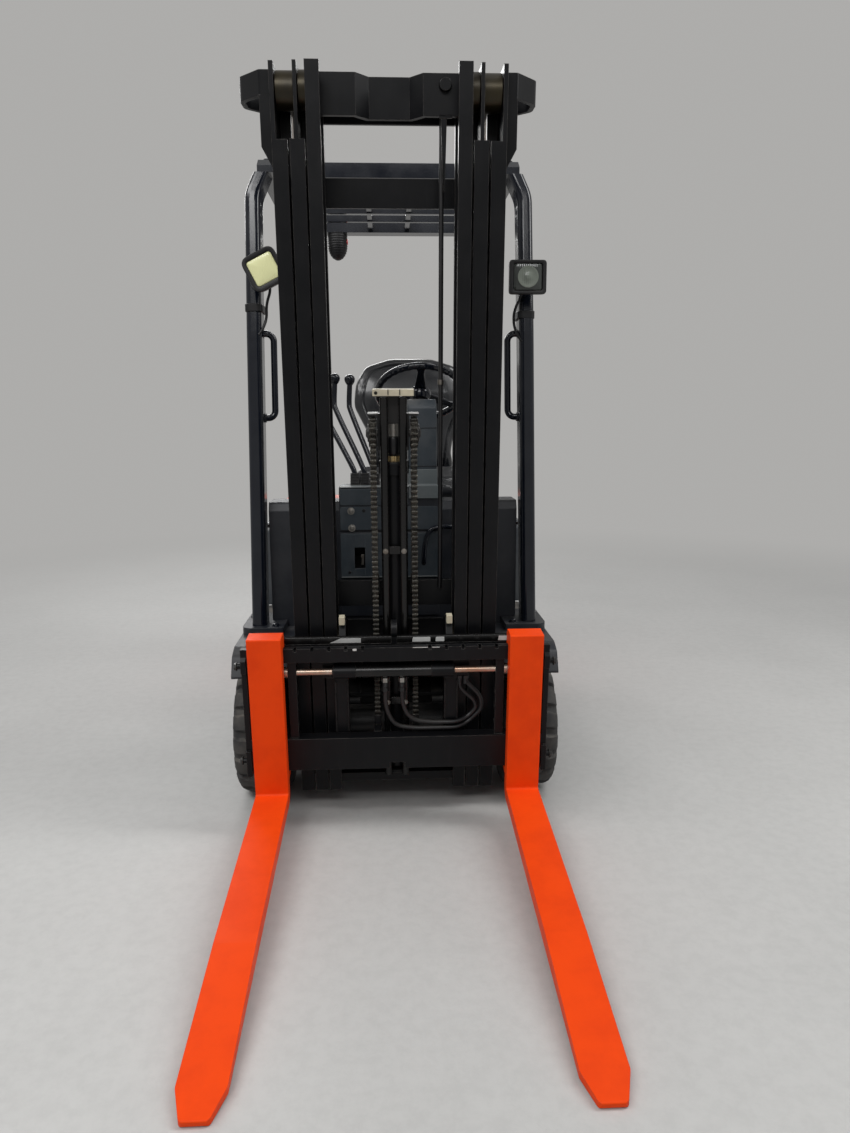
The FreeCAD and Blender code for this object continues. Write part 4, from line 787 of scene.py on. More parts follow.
@dataclass
class Wheels(Assembly):
    """Tyres with their lugs and grooves, and the rims' nuts."""

    front_x: float = 451.0
    front_w: float = 178.0
    front_r: float = 228.5
    rear_x: float = 82.5
    rear_y: float = 1320.0
    rear_z: float = 190.0
    rear_w: float = 115.0
    lugs: int = 18
    groove_share: float = 0.20
    groove_edge: float = 0.045
    groove_depth: float = 14.5

    def lugged(self) -> Part:
        """Returns a front tyre about the origin.

        The profile runs from one bead over the tread to the other. Where a point lies within the
        shoulder band, its radius falls by the groove's depth times a smooth window in angle, and the
        two shoulders' grooves lie half a pitch apart and slant towards the middle.
        """
        half = self.front_w / 2
        r = self.front_r
        bead = [(-half + 9, 102.4), (-half + 3, 108), (-half, 122), (-half - 0.5, 150), (-half, 172),
                (-half + 1, 190), (-half + 3, 206), (-half + 8, 216), (-half + 14, 222), (-half + 24, 226.5)]
        middle = [(x, r) for x in np.linspace(-half + 34, half - 34, 13)]
        profile = np.array(bead + middle + [(-x, y) for x, y in reversed(bead)])
        count = self.lugs * 20
        angle = np.linspace(0, 2 * math.pi, count, endpoint=False)[:, None]
        x = profile[None, :, 0]
        side = np.where(x > 0, 0.5, 0.0)
        slant = np.abs(x) / half * 0.12
        phase = (angle / (2 * math.pi) * self.lugs + side + slant) % 1.0
        window = np.clip((self.groove_share - np.abs(phase - 0.5)) / self.groove_edge, 0, 1)
        window = window * window * (3 - 2 * window)
        shoulder = np.clip((np.abs(x) - (half - 54)) / 5.0, 0, 1)
        reach = shoulder * np.clip((profile[None, :, 1] - 196) / 10.0, 0, 1)
        radius = profile[None, :, 1] - self.groove_depth * window * reach
        grid = np.empty((count, len(profile), 3))
        grid[..., 0] = np.broadcast_to(x, radius.shape)
        grid[..., 1] = radius * np.sin(angle)
        grid[..., 2] = radius * np.cos(angle)
        return rings(grid, True)

    def grooved(self) -> Part:
        """Returns a rear tyre about the origin: a profile with three grooves round the tread."""
        half, r = self.rear_w / 2, self.rear_z
        side = [(-half + 8, 102.4), (-half + 2, 108), (-half, 122), (-half, 150), (-half + 2, 166),
                (-half + 8, 180), (-half + 17, 188.5), (-half + 20, r)]
        tread = []
        for centre in (-20, 0, 20):
            tread += [(centre - 4.5, r), (centre - 3.5, r - 7), (centre + 3.5, r - 7), (centre + 4.5, r)]
        profile = side + tread + [(-x, y) for x, y in reversed(side)]
        return lathe(profile, 144, Axis.X, True)

    def nuts(self, x: float, y: float, z: float, count: int, radius: float, sign: int) -> Part:
        """Returns a ring of wheel nuts on a disc."""
        angle = np.linspace(0, 2 * math.pi, count, endpoint=False)
        places = np.stack([np.full(count, x), y + radius * np.cos(angle), z + radius * np.sin(angle)], 1)
        nut = lathe([(0, 15), (sign * 3, 15), (sign * 3.2, 12), (sign * 14, 12), (sign * 16, 10)], 6, Axis.X)
        stud = lathe([(sign * 15, 6.5), (sign * 24, 6.5), (sign * 25, 5.5)], 16, Axis.X)
        return joined([nut, stud]).repeated(places)

    def build(self) -> None:
        """Shows the tyres and the nuts."""
        tyre = self.lugged()
        for sign, name in ((1, "left"), (-1, "right")):
            x = sign * self.front_x
            self.show("tread_" + name, tyre.turned(0 if sign > 0 else 180, "Z").moved(x, 0, AXLE_Z),
                      "tyre_rubber", "wheel_" + name, replaces=("front_tyre_" + name,), sharp=50)
            face = x + sign * 38
            cap = lathe([(sign * 17, 41), (sign * 22, 38), (sign * 26, 30), (sign * 27, 10)], 32, Axis.X)
            nuts = self.nuts(face, 0, AXLE_Z, 5, 66, sign)
            self.show("wheel_nuts_" + name, joined([nuts, cap.moved(face, 0, AXLE_Z)]), "bright_bolt",
                      "wheel_" + name)
        rear = self.grooved()
        pair = joined([rear.moved(s * self.rear_x, self.rear_y, self.rear_z) for s in (-1, 1)])
        self.show("rear_treads", pair, "tyre_rubber", "steer_wheels", replaces=("steer_tyres",), sharp=40)
        nuts = joined([self.nuts(s * (self.rear_x + 16), self.rear_y, self.rear_z, 5, 60, s)
                       for s in (-1, 1)])
        self.show("rear_nuts", nuts, "bright_bolt", "steer_wheels")


@dataclass
class Chains(Assembly):
    """The two leaf chains, drawn link by link."""

    UPRIGHT = True

    x: float = 61.0
    front: float = 130.0
    wheel_r: float = 42.0
    wheel_z: float = 1265.0
    low: float = 335.0
    rear_end: float = 785.0
    pitch: float = 15.5
    plates: int = 6
    plate_t: float = 2.2

    def link(self) -> Part:
        """Returns one plate as a waisted outline about the origin, standing along z.

        The half width at each height is the larger of two circles about the pins and a waist.
        """
        r = 7.4
        half = self.pitch / 2
        height = np.linspace(-half - r, half + r, 15)
        nearest = np.minimum(np.abs(height - half), np.abs(height + half))
        width = np.maximum(np.sqrt(np.clip(r * r - nearest ** 2, 0.3, None)),
                           np.where(np.abs(height) < half, 5.0, 0))
        outline = np.concatenate([np.stack([width, height], 1), np.stack([-width, height], 1)[::-1]])
        return slab(outline, -self.plate_t / 2, self.plate_t / 2, Axis.X)

    def strand(self, places: np.ndarray, angles: np.ndarray) -> Part:
        """Returns the plates and pins at places on one strand, each turned about x by its angle."""
        c, s = np.cos(angles), np.sin(angles)
        spins = np.zeros((len(angles), 3, 3))
        spins[:, 0, 0] = 1
        spins[:, 1, 1] = c
        spins[:, 1, 2] = -s
        spins[:, 2, 1] = s
        spins[:, 2, 2] = c
        made = []
        step = self.plate_t + 0.45
        for i in range(self.plates):
            offset = (i - (self.plates - 1) / 2) * step
            rows = np.arange(len(places)) % 2 == i % 2
            made.append(self.link().moved(offset).posed(places[rows], spins[rows]))
        width = self.plates * step / 2 + 1.2
        pin = lathe([(-width, 3.2), (width, 3.2)], 10, Axis.X).moved(0, 0, -self.pitch / 2)
        made.append(pin.posed(places, spins))
        return joined(made)

    def build(self) -> None:
        """Shows the front strands, the wraps over the wheels, the rear strands and the anchors."""
        rear = self.front + 2 * self.wheel_r
        count = int((self.wheel_z - self.low) / self.pitch)
        up = self.wheel_z - (np.arange(count) + 0.5) * self.pitch
        back_count = int((self.wheel_z - self.rear_end) / self.pitch)
        back = self.wheel_z - (np.arange(back_count) + 0.5) * self.pitch
        wraps = int(math.pi * self.wheel_r / self.pitch)
        turn = (np.arange(wraps) + 0.5) * math.pi / wraps
        centre = self.front + self.wheel_r
        for s, side in ((1, "left"), (-1, "right")):
            x = s * self.x
            front = self.strand(np.stack([np.full(count, x), np.full(count, self.front), up], 1),
                                np.zeros(count))
            made = self.show("chain_front_" + side, front, "chain_steel", "crosshead")
            top = self.shop.place.mast_point(x, self.front, self.wheel_z)
            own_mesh(made)
            arc = np.stack([np.full(wraps, x), centre - self.wheel_r * np.cos(turn),
                            self.wheel_z + self.wheel_r * np.sin(turn)], 1)
            over = self.show("chain_top_" + side, self.strand(arc, -turn), "chain_steel", "crosshead",
                             replaces=("lift_chains",))
            LOG.info("%s has %d faces", over.name, len(over.data.polygons))
            tail = self.strand(np.stack([np.full(back_count, x), np.full(back_count, rear), back], 1),
                               np.zeros(back_count))
            down = self.show("chain_rear_" + side, tail, "chain_steel", "")
            self.shop.place.mast_point(x, rear, self.rear_end + 30)
            self.shop.place.mast_point(x, rear, self.wheel_z)
            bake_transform(down)
        anchor = joined([
            lathe([(-34, 7), (26, 7)], 20, Axis.Z),
            lathe([(-40, 11.5), (-30, 11.5), (-29, 12.5), (-19, 12.5)], 6, Axis.Z),
            slab(oblong(-11, 11, -9, 9, 4), 4, 34, Axis.Z),
        ])
        fronts = anchor.moved(self.x, self.front, self.low + 2)
        self.show("chain_anchors_front", both(fronts), "crosshead_steel", "carriage")
        rears = anchor.moved(self.x, rear, self.rear_end - 4)
        self.show("chain_anchors_rear", both(rears), "crosshead_steel", "mast_inner")


@dataclass
class Mast(Assembly):
    """The mast's welds, cylinder heads, clamps and the crosshead's plates."""

    UPRIGHT = True

    lift_x: float = 296.0
    lift_d: float = 336.0
    free_d: float = 196.0
    free_top: float = 1180.0
    wheel_x: float = 61.0
    wheel_z: float = 1265.0
    hose_x: float = 144.0
    hose_d: float = 228.0

    def beads(self, name: str, levels: tuple, inner: float, outer: float, back: float, body: str) -> None:
        """Shows welds where the edges of the ties cross the backs of the rails."""
        made = [weld((inner, back, z), (outer, back, z)) for z in levels]
        self.show(name, both(joined(made)), "mast_black", body)

    def lift_heads(self) -> None:
        """Shows the lift cylinders' screwed heads, their clamps and the pipe between them."""
        x, d = self.lift_x, self.lift_d
        head = [(2032, 27), (2033, 32.5), (2047, 32.5), (2049, 30), (2056, 30), (2058, 26)]
        pieces = [lathe(head, 12, Axis.Z).moved(x, d)]
        for z in (760, 1280, 1800):
            band = lathe([(-10, 27.8), (-10, 31.5), (10, 31.5), (10, 27.8)], 40, Axis.Z, True).moved(x, d, z)
            tab = block(x - 17, x - 9, 279.5, 314, z - 10, z + 10)
            pieces += [band, tab, tab.moved(26)]
        self.show("lift_heads", both(joined(pieces)), "mast_black", "mast_outer", 1.0)
        pipe = tube([(x - 20, d + 10, 352), (x - 44, d + 12, 352), (x - 60, d + 12, 338),
                     (60 - x, d + 12, 338), (44 - x, d + 12, 352), (20 - x, d + 10, 352)], 7.5)
        self.show("lift_pipe", pipe, "mast_black", "mast_outer")
        nut = lathe([(0, 12), (16, 12), (18, 10)], 6, Axis.X).moved(x - 46, d + 12, 352)
        self.show("lift_pipe_nuts", both(nut), "bright_bolt", "mast_outer")

    def free_head(self) -> None:
        """Shows the free-lift cylinder's slotted ring, its collar and the bands' bolts."""
        d, z = self.free_d, self.free_top
        self.show("gland_ring", fluted(33, 3, 16, z, z + 17).moved(0, d), "brass_ring", "mast_inner")
        collar = lathe([(z - 38, 38.2), (z - 38, 46), (z - 4, 46), (z, 43), (z + 0.6, 30)], 40, Axis.Z)
        foot = lathe([(150, 52), (160, 52), (163, 48), (166, 39)], 40, Axis.Z)
        ports = bolt(9, 9, Axis.Y, 1).moved(0, d + 38, 190)
        self.show("free_lift_head", joined([collar.moved(0, d), foot.moved(0, d), ports]), "mast_black",
                  "mast_inner")
        bands = [bolt(5.5, 5, Axis.Y, -1).moved(x, 130, z + 12) for z in (400, 900) for x in (-28, 28)]
        self.show("post_bolts", joined(bands), "bright_bolt", "mast_inner")

    def crosshead(self) -> None:
        """Shows the pale plate, the thin bright guards, the ridged guide and the wheels' caps."""
        hole = lathe([(1393.5, 5), (1394.5, 5), (1394.5, 9), (1393.5, 9)], 24, Axis.Z, True)
        outline = oblong(-60.4, 60.4, 125.5, 200.4, 9)
        cover = joined([slab(outline, 1375.5, 1393.8), hole.moved(-44, 150)])
        self.show("pale_plate", cover, "cream_plate", "crosshead", 1.2)
        hollow = lathe([(-0.6, 5.0), (0.3, 5.0)], 20, Axis.Y).moved(-50, 125.3, 1384.5)
        notch = block(18, 21, 124.9, 126, 1378, 1394.2)
        self.show("pale_plate_marks", joined([hollow, notch, notch.moved(-34, 0, 0)]), "chain_steel",
                  "crosshead")
        guard = both(slab(oblong(45, 75, 148, 197, 4), 1322.9, 1325.4))
        self.show("thin_guards", guard, "label_white", "crosshead")
        ridged = fluted(14.5, 1.8, 14, 1257, 1293).moved(0, 164)
        collar = lathe([(1203, 15), (1206, 17), (1250, 17), (1254, 15)], 32, Axis.Z).moved(0, 168)
        self.show("ridged_guide", ridged, "bright_bolt", "crosshead")
        self.show("guide_collar", collar, "crosshead_steel", "crosshead")
        x = self.wheel_x + 12
        cap = lathe([(x, 26), (x + 3, 26), (x + 4, 24), (x + 4, 13), (x + 8, 12), (x + 9, 9)], 40, Axis.X)
        spring = lathe([(x + 4.5, 15), (x + 6, 15)], 24, Axis.X)
        caps = joined([cap, spring]).moved(0, 172, self.wheel_z)
        self.show("wheel_caps", both(caps), "crosshead_steel", "crosshead")

    def hose_clamps(self) -> None:
        """Shows the clamps and end sleeves of the hose, and the block and plate beside its top."""
        x, d = self.hose_x, self.hose_d
        band = lathe([(-7, 7.2), (-7, 9.4), (7, 9.4), (7, 7.2)], 24, Axis.Z, True)
        bands = joined([band.moved(x, d, z) for z in (2165, 1410)])
        self.show("hose_bands", bands, "bright_bolt", "mast_inner")
        self.show("hose_sleeve", sleeve(7.2, 44).moved(x, d, 2168), "bright_bolt", "mast_inner")
        round_block = lathe([(188, 16), (198, 18), (199.5, 18)], 32, Axis.Y).moved(152, 0, 2196)
        finger = slab(rounded([(140, 2122), (157, 2122), (152, 1930), (147, 1930)], 3), 201, 206, Axis.Y)
        fixing = block(136, 172, 200, 208, 2116, 2124)
        self.show("hose_guide", joined([round_block, finger, fixing]), "mast_black", "mast_inner", 0.8)

    def pads(self) -> None:
        """Shows the bolts of the slide pads on the rails' webs, and the caps on the mast's pivots."""
        outer = joined([bolt(7, 6, Axis.X).moved(317, 215, z) for z in (2085, 2125)])
        rear = joined([bolt(8, 7, Axis.Y).moved(x, 302, z) for x in (120, 200) for z in (130, 185)])
        self.show("outer_mast_bolts", both(joined([outer, rear])), "mast_black", "mast_outer")
        middle = joined([bolt(7, 6, Axis.Y).moved(x, 284, z) for x in (60, 170) for z in (2135, 2195)])
        self.show("middle_mast_bolts", both(middle), "mast_black", "mast_middle")
        pins = lathe([(317, 30), (321, 30), (322, 28)], 40, Axis.X).moved(0, 370, AXLE_Z)
        self.show("mast_pivot_caps", both(pins.moved(-8)), "mast_black", "mast_outer")

    def build(self) -> None:
        """Shows all of it."""
        self.beads("outer_welds", (100, 215, 440, 640, 1900, 1980), 275, 317, 281, "mast_outer")
        self.beads("middle_welds", (110, 200, 2115), 229, 268, 273, "mast_middle")
        self.beads("inner_welds", (2121, 2224), 186, 200, 217, "mast_inner")
        bow = [weld((318, 196, z), (318, 246, z)) for z in (2166, 2226)]
        self.show("bow_welds", both(joined(bow)), "mast_black", "mast_outer")
        self.lift_heads()
        self.free_head()
        self.crosshead()
        self.hose_clamps()
        self.pads()


@dataclass
class Carriage(Assembly):
    """The carriage's and the side-shift frame's small pieces."""

    UPRIGHT = True

    shift_d: float = 62.0
    shift_z: float = 549.8
    left: float = 165.0
    right: float = -182.0

    def cylinder(self) -> None:
        """Shows the shift cylinder's two heads, its seams and the nuts of its hoses."""
        place = (0, self.shift_d, self.shift_z)
        heads = []
        for end, s in ((self.left, 1), (self.right, -1)):
            profile = [(end - s * 58, 20.2), (end - s * 57, 21.6), (end - s * 2, 21.6), (end + s * 11, 21.2),
                       (end + s * 12.5, 18)]
            heads.append(lathe(profile, 40, Axis.X))
        self.show("shift_heads", joined(heads).moved(*place), "mast_black", "carriage")
        wiper = lathe([(self.left + 12.4, 15), (self.left + 15, 14)], 32, Axis.X)
        other = lathe([(self.right - 12.4, 15), (self.right - 15, 14)], 32, Axis.X)
        self.show("shift_wipers", joined([wiper, other]).moved(*place), "control_black", "carriage")
        nuts = joined([lathe([(0, 12.5), (14, 12.5), (15, 11)], 6, Axis.Z).moved(x, self.shift_d, 514)
                       for x in (-35, 17)])
        self.show("hose_nuts", nuts, "bright_bolt", "carriage")

    def hose_ends(self) -> None:
        """Shows the crimped sleeves on the hoses, at their ports and under the carriage's bar."""
        ports = joined([sleeve(7.0, 34).turned(180).moved(x, self.shift_d, 516) for x in (-35, 17)])
        tops = joined([sleeve(7.0, 30).moved(x, 92, 490) for x in (216.5, 198)])
        self.show("hose_sleeves", joined([ports, tops]), "hose_rubber", "carriage")

    def fixings(self) -> None:
        """Shows end-plate bolts, pads, bare label patches and the lifting eye's weld."""
        studs = joined([bolt(9.5, 9, Axis.X).moved(485, 55, z) for z in (575.8, 257.0)])
        self.show("end_bolts", both(studs), "crosshead_steel", "side_shifter")
        nuts = bolt(12, 12, Axis.X).moved(344, self.shift_d, self.shift_z)
        self.show("rod_nuts", both(nuts), "crosshead_steel", "side_shifter")
        lip = slab(oblong(84.2, 99.2, 630, 654, 4), -396, 396, Axis.X)
        self.show("carriage_lip", lip, "post_black", "carriage")
        rows = ((-204, -170, -108), (50, 52, 106), (122, 123, 149), (316, 318, 350))
        labels = joined([slab(rounded([(a, 635), (c, 635), (c, 650), (b, 650)], 1.5), 83.6, 84.4, Axis.Y)
                         for a, b, c in rows])
        self.show("bare_labels", labels, "label_white", "carriage")
        strips = joined([plate(50, 96, 632.4, 634.8, 38.2, 38.5, 0.8),
                         plate(108, 132, 632.4, 634.8, 38.2, 38.5, 0.8),
                         plate(-132, -120, 626, 633, 38.2, 38.5, 1.5)])
        self.show("bare_strips", strips, "label_white", "side_shifter")
        pads = block(157, 175, 101, 128, 686, 712)
        self.show("cream_pads", both(pads), "cream_plate", "carriage", 1.5)
        eye = weld((-18, 92, 633), (6, 92, 633))
        bars = [weld((x, 99, z), (x + 70, 99, z)) for z in (318, 514) for x in (150, -220)]
        stems = [weld((x, 83.5, 336), (x, 83.5, 508)) for x in (152, 190, -152, -190)]
        self.show("carriage_welds", joined([eye] + bars + stems), "mast_black", "carriage")

    def build(self) -> None:
        """Shows all of it."""
        self.cylinder()
        self.hose_ends()
        self.fixings()


@dataclass
class Running(Assembly):
    """The tilt cylinders' heads, the steps' treads and the bolts of the axle and frame."""

    tilt_x: float = 200.0
    pin_y: float = 330.0
    pin_z: float = 420.0
    pin_angle: float = 8.0713

    def tilt_heads(self) -> None:
        """Shows the tilt cylinders' screwed heads, rings and ports, set along their slope."""
        end = self.pin_y - 270
        head = lathe([(end + 14, 31), (end + 13, 36), (end - 4, 36), (end - 7, 33), (end - 8, 20)], 40,
                     Axis.Y)
        ports = joined([bolt(9, 16, Axis.Z).moved(0, y, 30) for y in (end + 34, self.pin_y - 52)])
        ring = lathe([(self.pin_y - 44, 31), (self.pin_y - 43, 34.5), (self.pin_y - 34, 34.5),
                      (self.pin_y - 32, 28)], 40, Axis.Y)
        one = joined([head, ring, ports]).moved(self.tilt_x, 0, self.pin_z)
        made = both(one.turned(-self.pin_angle, "X", (0, self.pin_y, self.pin_z)))
        self.show("tilt_heads", made, "mast_black", "tilt_barrels", 0.8)

    def steps(self) -> None:
        """Shows each step as a folded tread with rows of raised, open-centred grips, and its sides."""
        side = [(306, 298), (436, 298), (436, 360), (428, 360), (428, 308), (306, 308)]
        tread = slab([(y, z + 2) for y, z in side], 346, 508, Axis.X)
        cheek = slab(rounded([(304, 300), (438, 300), (438, 360), (400, 360), (304, 320)], 6), 346, 352,
                     Axis.X)
        grip = lathe([(0, 9), (3.2, 7), (3.2, 4.2), (0.6, 4.0)], 16, Axis.Z)
        x, y = np.meshgrid(np.linspace(372, 488, 5), np.linspace(324, 408, 4))
        places = np.stack([x.ravel(), y.ravel(), np.full(x.size, 310.0)], 1)
        made = joined([tread, cheek, cheek.moved(156), grip.repeated(places)])
        self.show("step_treads", both(made), "floor_steel", bevel=0.6, replaces=("steps",))

    def bolts(self) -> None:
        """Shows the bolts that clamp the axle to the frame, and those of the gearboxes' covers."""
        saddle = joined([bolt(9, 8, Axis.X).moved(346, y, z) for y in (-34, 34) for z in (276, 300)])
        turn = np.linspace(0, 2 * math.pi, 10, endpoint=False)
        gear = bolt(6, 5, Axis.X).repeated(np.stack([np.full(10, 250.2), 205 + 74 * np.cos(turn),
                                                     AXLE_Z + 74 * np.sin(turn)], 1))
        self.show("axle_bolts", both(joined([saddle, gear])), "frame_black")
        bearing = bolt(9, 8, Axis.Z).repeated(np.stack([84 * np.cos(turn), 1320 + 84 * np.sin(turn),
                                                        np.full(10, 470.0)], 1))
        self.show("bearing_bolts", bearing, "bright_bolt")

    def build(self) -> None:
        """Shows all of it."""
        self.tilt_heads()
        self.steps()
        self.bolts()


@dataclass
class Cab(Assembly):
    """The cowl's fittings, the column, the steering wheel, the levers, the pedals and the mat."""

    wheel_at: tuple = (105.0, 345.0, 1380.0)
    wheel_r: float = 157.0
    wheel_tilt: float = 35.0
    dash_top: float = 1050.0
    levers: tuple = ((-137.0, -258.0, 280.0, 1424.0), (-101.0, -206.0, 280.0, 1420.0),
                     (-65.0, -152.0, 280.0, 1416.0))

    def cowl(self) -> None:
        """Shows the cowl's panels, screws and plugs, the slot's frame and latch, and the bent pipe."""
        upper = plate(-187, 157, 901, 983, 94.6, 96.5, 10)
        self.show("cowl_upper_panel", upper, "slate_plastic", bevel=1.2)
        frame = joined([plate(-187, -139, 735, 889, 89.4, 91.2, 3), plate(-102, 157, 735, 889, 89.4, 91.2, 3),
                        plate(-139, -102, 735, 764, 89.4, 91.2, 3),
                        plate(-139, -102, 839, 889, 89.4, 91.2, 3)])
        self.show("cowl_lower_panel", frame, "slate_plastic")
        dash = plate(-187, 53, 988, 1046, 94.6, 96.5, 5)
        self.show("dash_front", dash, "slate_plastic", bevel=1.0)
        top = slab(oblong(-188, 158, 98, 250, 8), 1049.6, 1051.2)
        self.show("dash_top", top, "panel_grey", bevel=0.6)
        screws = joined([bolt(8.5, 7, Axis.Y, -1).moved(x, 94.6, z) for x, z in ((-149, 968), (-147, 908))])
        self.show("cowl_bolts", screws, "bright_bolt")
        dots = joined([lathe([(0.2, 6), (-0.6, 6), (-0.8, 3)], 20, Axis.Y).moved(-104, 94.6, 969),
                       lathe([(0.2, 5), (-2.6, 4.6), (-3, 2)], 20, Axis.Y).moved(-157, 89.4, 751)])
        self.show("cowl_plugs", dots, "control_black")
        blade = slab(rounded([(-116, 775), (-108, 775), (-105, 812), (-113, 812)], 2), 99, 108, Axis.Y)
        latch = joined([blade, lathe([(96, 6), (112, 6)], 16, Axis.Y).moved(-112, 0, 806)])
        self.show("slot_latch", latch, "bright_bolt", bevel=0.8)
        edge = plate(-187, 157, 731, 735, 88.4, 91.6, 1.5)
        self.show("cowl_edge", edge, "panel_grey", bevel=0.5)
        pipe = tube([(105, 104, 770), (105, 82, 790), (108, 76, 850), (122, 74, 896), (150, 74, 912),
                     (204, 74, 912), (226, 80, 905), (234, 112, 900)], 8.5)
        self.show("cowl_pipe", pipe, "guard_blue_black")
        slope = [(91, 1010), (96.5, 1010), (96.5, 1050.8), (149, 1050.8), (149, 1109), (145, 1109),
                 (145, 1056), (91, 1056)]
        self.show("column_foot_panel", slab(slope, 54, 157, Axis.X), "panel_grey", bevel=1.5)

    def column(self) -> None:
        """Shows the column's cover with its split line, switch and indicator stalk."""
        side = rounded([(150, 1049), (150, 1330), (190, 1357), (262, 1296), (246, 1180), (246, 1049)], 13)
        self.show("column_shell", slab(side, 54, 156, Axis.X), "slate_plastic", bevel=5.0,
                  replaces=("column_cover",))
        band = joined([block(52.6, 157.4, 148.6, 247.4, z, z + 2.2) for z in (1118, 1252)])
        self.show("column_splits", band, "control_black", bevel=0.4)
        stalk = tube([(56, 230, 1262), (20, 232, 1272), (-22, 236, 1292), (-34, 238, 1300)], 5)
        grip = lathe([(-16, 6), (-14, 8), (12, 9.5), (18, 8), (20, 4)], 24, Axis.X)
        self.show("stalk", joined([stalk, grip.turned(26, "Y").moved(-34, 238, 1300)]), "control_black")
        switch = joined([lathe([(0, 17), (6, 17), (8, 14), (8, 4)], 32, Axis.Y), block(-2, 2, 7, 20, -9, 9)])
        self.show("key_switch", switch.moved(92, 246, 1216), "bright_bolt", bevel=0.5)

    def wheel(self) -> None:
        """Shows the steering wheel.

        The rim's tube has radius 12.6 + 0.9 cos(34 a) on its underside, where the fingers close. Each
        spoke narrows from the hub to the rim and drops towards the hub.
        """
        around = np.linspace(0, 2 * math.pi, 136, endpoint=False)[:, None]
        tube_turn = np.linspace(0, 2 * math.pi, 18, endpoint=False)[None]
        radius = 12.6 + 0.9 * np.cos(34 * around) * (np.sin(tube_turn) < -0.2)
        reach = self.wheel_r + radius * np.cos(tube_turn)
        grid = np.stack([reach * np.cos(around), reach * np.sin(around), radius * np.sin(tube_turn)], -1)
        rim = rings(grid, True)
        t = np.linspace(0, 1, 14)
        out = 22 + (self.wheel_r - 28) * t
        path = np.stack([np.zeros(14), -out, -9 * (1 - t) ** 2 - 1], 1)
        outline = oblong(-1, 1, -1, 1, 0.5, 4)
        wide = 24 - 15 * t + 9 * np.clip(t - 0.8, 0, 1) * 5
        section = outline[None] * np.stack([wide, np.full(14, 5.0)], 1)[:, None]
        spoke = sweep(path, section)
        hub = lathe([(-36, 30), (-30, 37), (-12, 42), (2, 41), (8, 36), (9.5, 30), (9.5, 12)], 48, Axis.Z)
        cap = lathe([(9, 27), (11.5, 26), (13, 22), (13.6, 6)], 48, Axis.Z)
        column = lathe([(-176, 19), (-34, 19)], 32, Axis.Z)
        spokes = [spoke.turned(angle, "Z") for angle in (0, 120, 240)]
        whole = joined([rim, hub, cap] + spokes).turned(-self.wheel_tilt).moved(*self.wheel_at)
        self.show("wheel_rim", whole, "guard_blue_black", replaces=("steering_wheel",))
        post = column.turned(-self.wheel_tilt).moved(*self.wheel_at)
        self.show("column_post", post, "control_black")

    def lever_set(self) -> None:
        """Shows the levers: square bellows, bent stems and pear-shaped knobs.

        The bellows' half width at share t of its height is 16 - 1.5 t, plus 1.7 on every other row.
        """
        t = np.linspace(0, 1, 17)
        half = 16 - 1.5 * t + 1.7 * (np.arange(17) % 2)
        square = oblong(-1, 1, -1, 1, 0.35, 5)
        grid = np.concatenate([square[None] * half[:, None, None],
                               np.broadcast_to((44 * t)[:, None, None], (17, 20, 1))], -1)
        boot = rings(grid)
        plinth = slab(oblong(-17.8, 17.8, -21, 21, 5), -0.5, 3.5)
        knob = lathe([(-20, 7.5), (-17, 8.5), (-12, 13), (-3, 18), (6, 19.5), (14, 17), (20, 10), (22, 4)],
                     32, Axis.Z)
        boots, stems, knobs = [], [], []
        for foot, x, y, z in self.levers:
            boots += [boot.moved(foot, 205, self.dash_top), plinth.moved(foot, 205, self.dash_top)]
            stems.append(tube([(foot, 205, self.dash_top + 36), (foot - 5, 207, self.dash_top + 62),
                               (x - 1, y - 14, z - 98), (x - 4, y - 8, z - 76), (x, y, z - 4)], 9.6))
            knobs.append(knob.moved(x, y, z + 6))
        self.show("lever_boots", joined(boots), "control_black", bevel=0.5)
        self.show("lever_stems", joined(stems), "guard_blue_black", replaces=("levers",))
        self.show("lever_knobs", joined(knobs), "guard_blue_black")

    def foot_pieces(self) -> None:
        """Shows the pedals with ribbed pads on bent arms, and the ribbed mat on the floor."""
        pads, arms = [], []
        for x, wide in ((150.0, 60.0), (20.0, 90.0)):
            base = slab(oblong(-wide / 2, wide / 2, -52, 52, 9), -4, 4)
            rib = block(-wide / 2 + 6, wide / 2 - 6, -2.2, 2.2, 3.8, 6.6)
            ribs = rib.repeated(np.stack([np.zeros(9), np.linspace(-42, 42, 9), np.zeros(9)], 1))
            pads.append(joined([base, ribs]).turned(-61).moved(x, 292, 645))
            arms.append(tube([(x, 282, 546), (x, 282, 600), (x, 287, 646)], 9))
        self.show("pedal_pads", joined(pads), "control_black", bevel=0.8, replaces=("pedals",))
        self.show("pedal_arms", joined(arms), "frame_black")
        mat = slab(oblong(-330, 330, 250, 458, 18), 547.8, 551)
        rib = block(-318, 318, -1.6, 1.6, 0, 1.6)
        rows = rib.repeated(np.stack([np.zeros(17), np.linspace(262, 446, 17), np.full(17, 550.6)], 1))
        self.show("floor_mat", joined([mat, rows]), "control_black", bevel=0.5)

    def build(self) -> None:
        """Shows all of it."""
        self.cowl()
        self.column()
        self.wheel()
        self.lever_set()
        self.foot_pieces()


